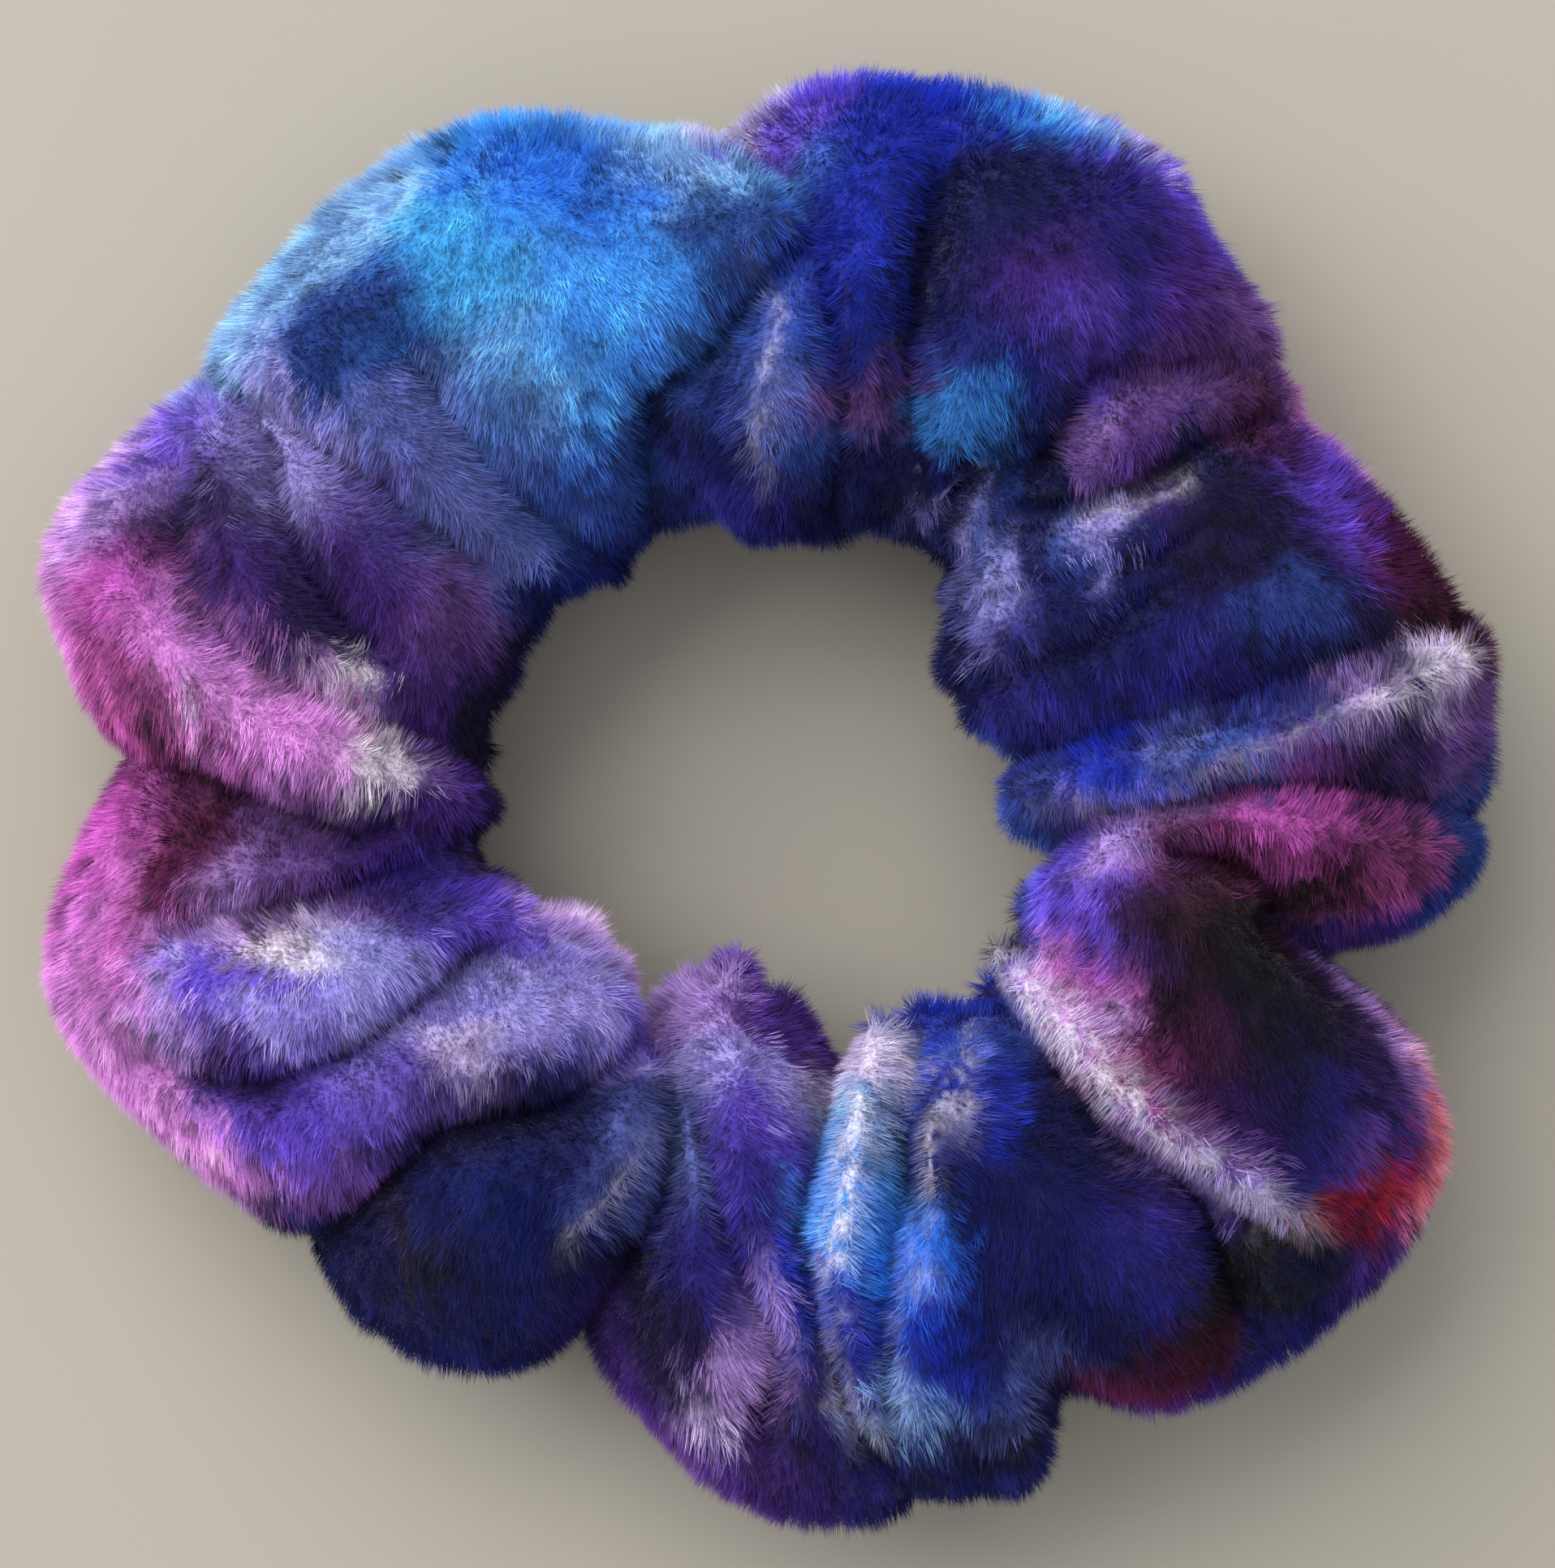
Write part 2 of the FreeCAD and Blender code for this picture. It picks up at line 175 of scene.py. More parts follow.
# Where each dye was splashed on the top of the ring: ring angle, share across, reach in
# millimetres.
SPLASHES = {
    "white": [(175, 0.31, 2.8), (162, 0.32, 2.5), (196, 0.44, 3)],
    "shell": [
        (94, 0.98, 3), (63, 0.97, 3), (325, 0.22, 4.5), (292, 0.1, 3.5), (264, 0.88, 3.5),
        (222, 0.4, 4), (172, 0.66, 2.2), (11, 0.87, 3),
    ],
    "pale_sky": [
        # The splashes on the outer edge at ring angles 97 to 137 are partly pale dye and partly a
        # painted highlight, where the light from the upper left falls on the outer edge.
        (137, 0.95, 6), (125, 0.95, 7), (101, 0.91, 7), (283, 0.71, 3), (97, 0.88, 4),
        (288, 0.2, 3.5),
    ],
    "teal_sky": [(91, 0.82, 5), (122, 0.5, 5)],
    "azure": [
        (110, 0.94, 7), (109, 0.64, 7), (110, 0.4, 6), (67, 0.95, 4), (101, 0.6, 5), (286, 0.3, 3),
        (62, 0.29, 4), (278, 0.4, 3), (108, 0.86, 4),
    ],
    "cyan": [(121, 0.71, 6)],
    "royal_sky": [(109, 0.8, 6), (290, 0.45, 4), (107, 0.86, 6)],
    "royal": [
        (81, 0.49, 4), (82, 0.76, 6), (75, 0.9, 6), (3, 0.29, 4), (317, 0.07, 5), (290, 0.66, 5),
        (275, 0.59, 4), (303, 0.23, 4), (291, 0.55, 3),
    ],
    "steel": [
        (103, 0.37, 5), (90, 0.49, 3), (83, 0.21, 3), (0, 0.07, 5), (7, 0.52, 3.5), (21, 0.69, 4),
        (43, 0.32, 2.5), (49, 0.08, 2.5), (88, 0.42, 3), (310, 0.1, 3.5), (65, 0.42, 3.5),
    ],
    "slate": [
        (123, 0.25, 5), (357, 0.95, 5), (112, 0.16, 5), (130, 0.76, 4.5), (93, 0.66, 4),
        (93, 0.76, 3), (127, 0.45, 3.5), (57, 0.22, 2.5),
    ],
    "grey_blue": [
        (134, 0.41, 7), (135, 0.16, 5), (292, 0.81, 5), (248, 0.42, 4), (88, 0.31, 3),
        (247, 0.59, 3.5), (9, 0.42, 2.5),
    ],
    "deep_blue": [(128, 0.03, 5), (237, 0.64, 5), (57, 0.42, 4), (94, 0.3, 3.5), (235, 0.55, 4)],
    "navy": [
        (101, 0.22, 5), (74, 0.09, 4), (73, 0.5, 5), (71, 0.6, 5), (320, 0.89, 6), (310, 0.39, 8),
        (297, 0.64, 7), (288, 0.94, 7), (229, 0.95, 7), (240, 0.89, 7), (36, 0.04, 5),
        (238, 0.44, 5), (30, 0.26, 6), (37, 0.72, 3), (14, 0.62, 3), (52, 0.38, 3), (30, 0.46, 4),
        (233, 0.74, 4), (242, 0.46, 5), (243, 0.57, 3), (245, 0.67, 3), (282, 0.86, 3.5),
        (70, 0.77, 5), (294, 0.28, 3.5), (283, 0.86, 4), (51, 0.27, 5),
    ],
    "indigo": [
        (93, 0.11, 4), (66, 0.43, 4), (18, 0.45, 6), (19, 0.11, 5), (331, 0.6, 7), (336, 0.83, 6),
        (313, 1, 6), (313, 0.58, 6), (280, 0.91, 5), (192, 0.14, 4), (9, 0.6, 2.5), (9, 0.1, 4),
        (233, 0.31, 4), (60, 0.77, 6), (268, 0.4, 3), (276, 0.66, 3), (260, 0.57, 4), (36, 0.17, 3),
    ],
    "periwinkle": [(204, 0.31, 5), (212, 0.25, 4.5), (47, 0.05, 3.5), (41, 0.13, 4)],
    "lavender": [
        (322, 0.66, 3), (262, 0.18, 5), (143, 0.86, 5), (146, 0.68, 5), (224, 0.19, 7),
        (194, 0.7, 3.5), (205, 0.56, 3), (214, 0.53, 4), (40, 0.37, 3),
    ],
    "lilac": [
        (355, 0.3, 4), (251, 0.07, 4), (220, 0.01, 4), (190, 0.55, 4.5), (154, 0.92, 6),
        (322, 0.47, 3), (10, 0.7, 3), (201, 0.74, 3.5), (267, 0.72, 3.5), (327, 0.1, 3),
        (340, 0.94, 3), (49, 0.53, 2.5), (267, 0.62, 4), (329, 0.27, 3), (172, 0.2, 3),
    ],
    "violet": [
        (89, 0.94, 5), (57, 0.98, 5), (55, 0.59, 5), (28, 0.9, 6), (343, 0.31, 4), (271, 0.3, 5),
        (240, 0.12, 4), (220, 0.55, 5), (213, 0.74, 5), (201, 0.12, 5), (147, 0.9, 5),
        (344, 0.15, 4), (61, 0.9, 4), (212, 0.58, 3), (199, 0.62, 3.5), (202, 0.49, 3),
        (56, 0.56, 3), (211, 0.3, 3),
    ],
    "deep_violet": [
        (15, 0.74, 5), (156, 0.44, 4), (229, 0.41, 4), (206, 0.74, 3.5), (168, 0.03, 5),
        (5, 0.76, 4), (152, 0.75, 7), (30, 0.72, 6), (224, 0.55, 3.5), (228, 0.46, 4),
        (257, 0.8, 5), (261, 0.65, 3), (271, 0.78, 3), (259, 0.7, 2.5), (7, 0.8, 3.5),
    ],
    "purple": [
        (52, 0.84, 6), (62, 0.58, 6), (349, 0.9, 4), (324, 0.95, 4), (306, 1.01, 4), (271, 0.92, 6),
        (272, 0.04, 4), (183, 0.18, 5), (173, 0.15, 4), (157, 0.56, 5), (149, 0.42, 6),
        (161, 0.17, 6), (40, 0.58, 3.5), (208, 0.69, 3.5), (252, 0.92, 4), (327, 0.52, 3),
        (318, 0.64, 3),
    ],
    "dusk": [
        (75, 0.32, 4), (43, 0.91, 6), (44, 0.72, 5), (4, 0.9, 5), (264, 1.01, 6), (187, 0.41, 5),
        (148, 0.18, 6), (49, 0.56, 4), (220, 0.86, 3), (226, 0.82, 2), (222, 0.7, 3),
        (337, 0.86, 3.5), (177, 0.58, 3), (330, 0.76, 3),
    ],
    "magenta": [(333, 0.24, 3), (326, 0.6, 2.5), (358, 0.6, 5), (185, 0.88, 8), (162, 0.8, 6)],
    "mauve": [
        (355, 0.79, 4), (170, 0.88, 7), (172, 0.76, 3), (175, 0.6, 3), (328, 0.4, 3),
        (190, 0.78, 3), (331, 0.18, 3.5), (329, 0.38, 3.5),
    ],
    "pink": [
        (35, 1.01, 4), (209, 0.93, 6), (201, 0.94, 5), (196, 0.9, 6), (190, 0.91, 5),
        (163, 0.94, 6), (165, 0.67, 6), (171, 0.49, 5), (331, 0.18, 4), (188, 0.8, 3),
    ],
    "wine": [
        (318, 0.3, 2.5), (352, 0.38, 3), (38, 0.9, 4), (21, 0.94, 6), (13, 0.99, 2), (331, 0.45, 5),
        (307, 0.86, 4), (185, 0.68, 5), (346, 0.47, 4), (177, 0.87, 3), (355, 0.63, 2.5),
        (321, 0.8, 2),
    ],
    "maroon": [
        (316, 0.5, 2.5), (15, 0.94, 4), (351, 0.73, 5), (340, 0.82, 5), (330, 0.02, 3),
        (177, 0.8, 6), (338, 0.37, 5), (318, 0.75, 3), (338, 0.36, 3),
    ],
    "crimson": [(328, 0.87, 4), (323, 0.8, 3)],
    "coral": [(333, 0.96, 4)],
    "brick": [(299, 0.93, 3.5)],
    "black": [(314, 0.82, 5), (337, 0.52, 7), (232, 0.84, 4), (289, 0.88, 3.5)],
}


def linear(rgb):
    """A 0 to 255 colour as the linear red, green and blue that a shader works with."""
    share = np.array(rgb, float) / 255
    return np.where(share <= 0.04045, share / 12.92, ((share + 0.055) / 1.055) ** 2.4)


# --- Curves and noise as whole arrays ----------------------------------------------------


def closed_curve(points, angles):
    """Values at ring angles on a smooth closed curve through (angle, value) points.

    Between two points it is the cubic h00 y0 + h10 w m0 + h01 y1 + h11 w m1, with w the
    step between them and m the slope of a parabola through each point and its neighbours.
    """
    x, y = np.array(points, float).T
    x = np.concatenate([x[-2:] - 360, x, x[:2] + 360])
    y = np.concatenate([y[-2:], y, y[:2]])
    slope = np.gradient(y, x)
    turned = (np.asarray(angles) - x[1]) % 360 + x[1]
    i = np.clip(np.searchsorted(x, turned, side="right") - 1, 0, len(x) - 2)
    step = x[i + 1] - x[i]
    t = (turned - x[i]) / step
    start = (1 + 2 * t) * (1 - t) ** 2 * y[i] + t * (1 - t) ** 2 * step * slope[i]
    return start + t**2 * (3 - 2 * t) * y[i + 1] - t**2 * (1 - t) * step * slope[i + 1]


LATTICE = np.random.default_rng(11).uniform(-1, 1, (32, 32, 32))


def noise(points, size, seed=0):
    """Smooth noise from -1 to 1 whose bumps are about size apart.

    Random values stand on a cubic lattice that repeats every 32 steps, and between them the
    value is eased along each axis by 3t^2 - 2t^3.
    """
    place = np.asarray(points) / size + seed * 7.31
    cell = np.floor(place).astype(int)
    t = place - cell
    t = t * t * (3 - 2 * t)
    low, high = cell % 32, (cell + 1) % 32
    total = np.zeros(place.shape[:-1])
    for corner in range(8):
        bits = [(corner >> axis) & 1 for axis in range(3)]
        index = [np.where(bit, high[..., a], low[..., a]) for a, bit in enumerate(bits)]
        weight = np.ones(place.shape[:-1])
        for a, bit in enumerate(bits):
            weight = weight * (t[..., a] if bit else 1 - t[..., a])
        total += weight * LATTICE[index[0], index[1], index[2]]
    return total


def turn_between(a, b):
    """The signed angle in degrees from b to a, from -180 to 180."""
    return (a - b + 180) % 360 - 180


def unit(vectors):
    """The vectors at length 1."""
    return vectors / np.maximum(np.linalg.norm(vectors, axis=-1, keepdims=True), 1e-12)


def soft_max(a, b, blend):
    """The larger of two values, rounded off over the blend where they meet."""
    return (a + b + np.sqrt((a - b) ** 2 + blend**2)) / 2


# --- The cloth's surface -----------------------------------------------------------------

# Lengths are in millimetres and angles in degrees.
PILE_STAND = 1.5  # how far the leaning pile stands off its cloth, seen from above
TUBE_MIDDLE = 14.9  # the height of the tube's middle over the floor
TUBE_RADIUS = 32.0  # the ring radius of the circle that the elastic's casing follows
TUBE_ROUND = 17.0  # the tube's own radius, by which steps round it are measured
CREST_HEIGHT = 13.6  # from the tube's middle to the top of the cloth, before the swells
UNDER_DEPTH = 15.6  # from the tube's middle to the underside, before the floor presses it
FLOOR_GAP = 0.5  # the pressed pile between the underside's cloth and the floor
ROUNDNESS = 0.9  # below 1 the tube's section is fuller than an ellipse
CREASE_DEPTH = 1.2  # what the creases' depths are multiplied by
CREASE_REACH = 1.25  # and their slopes' reaches
CREST_WIDTH = 2.4  # the half width of a sharp crest's bell curve
UNDER_GATHERS = 24  # how many gathers there are round the underside
UNDER_GATHER_DEPTH = 3.6
CASING_KEEP = 5.8  # how far the cloth stays from the middle of the elastic's casing
SEAM_KEEP = 4.1  # how much farther it stays on the hole's side and at the closing seam
CLOSING_SEAM = 215  # the ring angle of the seam that joins the tube's ends
BEND = 0.8  # how wide the rounded change is where one limit takes over from another


def edges(ring_degrees):
    """The cloth's ring radius at the hole and at its outer side, inside the pile."""
    hole = closed_curve(HOLE_EDGE, ring_degrees) + PILE_STAND
    outer = closed_curve(OUTER_EDGE, ring_degrees) - PILE_STAND
    return hole, outer


def tube_distance(ring, tube, place, reach):
    """Millimetres from a place on the cloth, round the ring and round the tube.

    The share across is turned into a tube angle, and each step is an angle times the radius
    that it turns about. Reach scales the two.
    """
    angle, share = place
    across = 2 * min(max(share, 0.0), 1.0) - 1
    target = math.degrees(math.acos(across))
    hole, outer = edges(np.array(float(angle)))
    radius = float(hole + (outer - hole) * share)
    along = np.radians(turn_between(ring, angle)) * radius
    round_tube = np.radians(turn_between(tube, target)) * TUBE_ROUND
    return np.sqrt((along / reach[0]) ** 2 + (round_tube / reach[1]) ** 2)


def line_offset(ring, tube, places, radius):
    """How far each point lies to the side of a line of places, and how far past its ends.

    The line's ring angle is looked up at the point's tube angle. The step round the ring to
    it, times the cosine of the line's slant, is the offset in millimetres, positive towards
    larger ring angles. A line that spans the whole top goes on under the tube and closes.
    """
    angle, share = np.array(places, float).T[:2]
    angle = np.degrees(np.unwrap(np.radians(angle)))
    at = np.degrees(np.arccos(np.clip(2 * share - 1, -1, 1)))
    order = np.argsort(at)
    at, angle = at[order], angle[order]
    if at[0] < 25 and at[-1] > 145:
        at = np.append(at, at[0] + 360)
        angle = np.append(angle, angle[0])
    wrapped = (tube - at[0] + 90) % 360 + at[0] - 90
    line = np.interp(wrapped, at, angle)
    past = np.maximum(np.maximum(at[0] - wrapped, wrapped - at[-1]), 0)
    ahead = np.interp(wrapped + 3, at, angle) - np.interp(wrapped - 3, at, angle)
    slant = np.radians(ahead) * radius / (math.radians(6) * TUBE_ROUND)
    side = np.radians(turn_between(ring, line)) * radius / np.sqrt(1 + slant**2)
    return side, np.radians(past) * TUBE_ROUND


def crease_depth(ring, tube, radius):
    """How deep the creases cut below the folds: each is a valley between two round crests.

    With x the offset as a share of the slope's reach, a valley is depth times
    1 - sqrt(1 - (1 - x)^2), so that its bottom is sharp and its crests are round. Valleys
    that meet are joined by the fourth root of the sum of their fourth powers.
    """
    total = np.zeros(np.broadcast(ring, tube).shape)
    for places, depth, low_reach, high_reach in CREASES:
        side, past = line_offset(ring, tube, places, radius)
        reach = CREASE_REACH * np.where(side < 0, low_reach, high_reach)
        x = np.clip(np.abs(side) / reach, 0, 1)
        valley = 1 - np.sqrt(np.clip(1 - (1 - x) ** 2, 0, 1))
        total += (CREASE_DEPTH * depth * valley * np.exp(-((past / 4.0) ** 2))) ** 4
    return total**0.25


def under_gathers(ring, tube, flat):
    """The gathers underneath and on the wall of the hole, which no one arranges.

    They are valleys of 1 - |sin| at even steps round the ring, shifted by noise.
    """
    wander = 7 * noise(flat, 22.0, 7) + 2.5 * noise(flat, 9.0, 8)
    wave = 1 - np.abs(np.sin(np.radians((ring + wander) * UNDER_GATHERS / 2)))
    height, across = np.sin(np.radians(tube)), np.cos(np.radians(tube))
    below = np.clip(0.25 - height * 1.5 - 0.35 * across, 0, 1)
    return UNDER_GATHER_DEPTH * below * wave


def crest_rise(ring, tube, radius):
    """How far the sharp crests stand up: each is a bell curve across its line."""
    total = np.zeros(np.broadcast(ring, tube).shape)
    for places, rise, _ in CRESTS:
        side, past = line_offset(ring, tube, places, radius)
        total += rise * np.exp(-((side / CREST_WIDTH) ** 2) - (past / 3.0) ** 2)
    return total


def swell_rise(ring, tube):
    """How far the broad folds swell: each is a bell curve round its place."""
    total = np.zeros(np.broadcast(ring, tube).shape)
    for angle, share, rise, along, across in SWELLS:
        distance = tube_distance(ring, tube, (angle, share), (along, across))
        total += rise * np.exp(-(distance**2))
    return total


def parting(ring, tube, points):
    """How much the pile parts, from 0 to 1, and to which side it is pushed, from -1 to 1.

    The amount is a bell curve as wide as the crest says, across a line that noise shifts and
    breaks up. The push is tanh(offset / 0.7) from the shifted line, and a wider bell curve
    across the crest's own line fades it.
    """
    radius = np.hypot(points[..., 0], points[..., 1])
    wobble = 0.9 * noise(points, 3.0, 30) + 0.4 * noise(points, 1.1, 31)
    gaps = np.clip(1.15 + 1.1 * noise(points, 5.0, 32), 0.25, 1)
    amount = np.zeros(np.broadcast(ring, tube).shape)
    push = np.zeros_like(amount)
    for places, _, width in CRESTS:
        side, past = line_offset(ring, tube, places, radius)
        ragged = side + wobble
        share, white = np.array(places).T[1:]
        shown = np.interp((1 + np.cos(np.radians(tube))) / 2, share, white)
        fade = shown * np.exp(-((past / 2.0) ** 2))
        amount = np.maximum(amount, fade * gaps * np.exp(-((ragged / width) ** 2)))
        near = np.tanh(ragged / 0.7) * np.exp(-((side / 3.2) ** 2)) * fade
        push = np.where(np.abs(near) > np.abs(push), near, push)
    return amount, push


def cloth_points(ring, tube):
    """The outer face of the cloth at ring and tube angles in degrees, in millimetres.

    The tube is a full oval between the hole's edge and the outer edge, from the cosine and
    sine to the power of the roundness, pressed flat by the floor. Along the oval's own
    normal, swells and sharp crests push it out, creases and gathers pull it in, and noise
    moves it either way. It is kept clear of the elastic's casing at every place.
    """
    hole, outer = edges(ring)
    turn, round_tube = np.radians(ring), np.radians(tube)
    cosine, sine = np.cos(round_tube), np.sin(round_tube)
    half = (outer - hole) / 2
    up = np.where(sine > 0, CREST_HEIGHT, UNDER_DEPTH)
    across = (outer + hole) / 2 + half * np.sign(cosine) * np.abs(cosine) ** ROUNDNESS
    height = up * np.sign(sine) * np.abs(sine) ** ROUNDNESS
    flat = np.stack([across * np.cos(turn), across * np.sin(turn), height], -1)
    lumps = 0.55 * noise(flat, 9.0, 1) + 0.35 * noise(flat, 4.5, 2)
    outward = np.clip(cosine, 0, 1)
    push = swell_rise(ring, tube) + crest_rise(ring, tube, across) + lumps
    push *= 1 - 0.8 * outward**2
    push -= crease_depth(ring, tube, across) * (1 - 0.8 * outward**4)
    push -= under_gathers(ring, tube, flat)
    normal = unit(np.stack([cosine / half, sine / up], -1))
    across = across + push * normal[..., 0]
    height = height + push * normal[..., 1]
    away = across - TUBE_RADIUS
    distance = np.hypot(away, height)
    direction = np.degrees(np.arctan2(height, away)) % 360
    hole_side = np.clip(1.9 - np.abs(direction - 180) / 50, 0, 1)
    at_seam = np.exp(-((turn_between(ring, CLOSING_SEAM) / 7) ** 2))
    keep = CASING_KEEP + SEAM_KEEP * np.maximum(hole_side, at_seam)
    scale = soft_max(distance, keep, BEND) / np.maximum(distance, 1e-6)
    across, height = TUBE_RADIUS + away * scale, height * scale + TUBE_MIDDLE
    height = soft_max(height, FLOOR_GAP, BEND)
    return np.stack([across * np.cos(turn), across * np.sin(turn), height], -1)


def grid_angles(ring_steps, tube_steps):
    """Ring and tube angles of a closed grid, in degrees, as columns and rows."""
    ring = np.arange(ring_steps)[:, None] * 360 / ring_steps
    tube = np.arange(tube_steps)[None, :] * 360 / tube_steps
    return ring + 0 * tube, tube + 0 * ring


def grid_frame(points):
    """Unit vectors at each point of a closed grid: round the ring, round the tube, outward."""
    along = unit(np.roll(points, -1, 0) - np.roll(points, 1, 0))
    round_tube = unit(np.roll(points, -1, 1) - np.roll(points, 1, 1))
    outward = unit(np.cross(along, -round_tube))
    middle = unit(points * [1, 1, 0]) * TUBE_RADIUS + [0, 0, TUBE_MIDDLE]
    facing = np.sign(np.sum(outward * (points - middle), -1, keepdims=True).mean())
    return along, round_tube, outward * facing


def sample(field, ring, tube):
    """A closed grid's values at any ring and tube angles, straight between its points."""
    rows, columns = field.shape[:2]
    u, v = (ring % 360) * rows / 360, (tube % 360) * columns / 360
    i, j = np.floor(u).astype(int), np.floor(v).astype(int)
    s, t = u - i, v - j
    if field.ndim == 3:
        s, t = s[:, None], t[:, None]
    i, j = i % rows, j % columns
    next_i, next_j = (i + 1) % rows, (j + 1) % columns
    near = field[i, j] * (1 - s) + field[next_i, j] * s
    far = field[i, next_j] * (1 - s) + field[next_i, next_j] * s
    return near * (1 - t) + far * t


# --- The dye's place on the cloth --------------------------------------------------------

SPLASH_FALL = 2.4  # how steeply a splash's weight falls with distance
SPLASH_TAIL = 0.004  # the size of the long faint tail of a splash's weight
SPLASH_ROUND = 16  # the radius of the plain tube on which the dye's noise is read
UNDERSIDE = -0.6  # the sine of the tube angle below which the underside begins
UNDER_TURN = 150  # how far the underside's splashes are turned round the ring


def dye_colour(ring, tube, dyes):
    """The dye's linear colour at ring and tube angles.

    With d the distance over the reach, each splash weighs exp(-fall d^2) + tail / (1 + d^2)^2.
    A place takes the square of the mean of the dyes' square roots by their weight, so that a
    dark dye stays dark where it meets a light one. The tail blends the dyes softly
    where no splash reaches. The angles are first moved by noise, so that the splashes' edges
    are ragged. The walls mirror the top, and the underside has its splashes turned round the
    ring.
    """
    turn, round_tube = np.radians(ring), np.radians(tube)
    tube_ring = (TUBE_RADIUS + SPLASH_ROUND * np.cos(round_tube))[:, None]
    level = SPLASH_ROUND * np.sin(round_tube)
    place = np.stack([np.cos(turn), np.sin(turn)], -1) * tube_ring
    place = np.concatenate([place, level[:, None]], -1)
    drift = 1.8 * noise(place, 7.0, 3) + 2.0 * noise(place, 2.4, 4)
    lift = 1.8 * noise(place, 7.0, 5) + 2.0 * noise(place, 2.4, 6)
    ring = ring + np.degrees(drift / tube_ring[:, 0])
    tube = tube + np.degrees(lift / TUBE_ROUND)
    height = np.sin(np.radians(tube))
    ring = np.where(height < UNDERSIDE, ring + UNDER_TURN, ring)
    tube = np.where(height < 0, -tube, tube)
    mixed = np.zeros((len(ring), 3))
    total = np.full(len(ring), 1e-9)
    for dye, splashes in SPLASHES.items():
        for angle, share, reach in splashes:
            distance = tube_distance(ring, tube, (angle, share), (reach, reach))
            weight = np.exp(-SPLASH_FALL * np.minimum(distance, 3.0) ** 2)
            weight += SPLASH_TAIL / (1 + distance**2) ** 2
            mixed += weight[:, None] * np.sqrt(dyes[dye])
            total += weight
    return (mixed / total[:, None]) ** 2


# --- Meshes ------------------------------------------------------------------------------


def grid_faces(rows, columns, first=0, flip=False):
    """The four corners of each face of a grid that is closed both ways."""
    i, j = np.meshgrid(np.arange(rows), np.arange(columns), indexing="ij")
    next_i, next_j = (i + 1) % rows, (j + 1) % columns
    near, far = i * columns, next_i * columns
    corners = [near + j, far + j, far + next_j, near + next_j]
    faces = np.stack(corners, -1).reshape(-1, 4) + first
    return faces[:, ::-1] if flip else faces


def new_piece(name, points, faces, smooth=True):
    """A mesh object at the origin from points in millimetres and faces of one size."""
    mesh = bpy.data.meshes.new(name)
    mesh.vertices.add(len(points))
    mesh.vertices.foreach_set("co", (points * MM).astype(np.float32).ravel())
    count, corners = faces.shape
    mesh.loops.add(count * corners)
    mesh.loops.foreach_set("vertex_index", faces.astype(np.int32).ravel())
    mesh.polygons.add(count)
    mesh.polygons.foreach_set("loop_start", np.arange(count, dtype=np.int32) * corners)
    mesh.polygons.foreach_set("use_smooth", np.full(count, smooth))
    mesh.update(calc_edges=True)
    mesh.validate()
    piece = bpy.data.objects.new(name, mesh)
    bpy.context.scene.collection.objects.link(piece)
    return piece


def add_dye(piece, colours):
    """The colour on each vertex: the dye, with the painted shade that the caller has put in it."""
    attribute = piece.data.attributes.new("dye", "FLOAT_COLOR", "POINT")
    rgba = np.concatenate([colours, np.ones((len(colours), 1))], -1)
    attribute.data.foreach_set("color", rgba.astype(np.float32).ravel())


def add_map(piece, u, v):
    """A UV map from one pair of values on each vertex."""
    layer = piece.data.uv_layers.new(name="OFBake")
    corner = np.empty(len(piece.data.loops), np.int32)
    piece.data.loops.foreach_get("vertex_index", corner)
    layer.uv.foreach_set("vector", np.stack([u[corner], v[corner]], -1).astype(np.float32).ravel())


# --- Materials ---------------------------------------------------------------------------


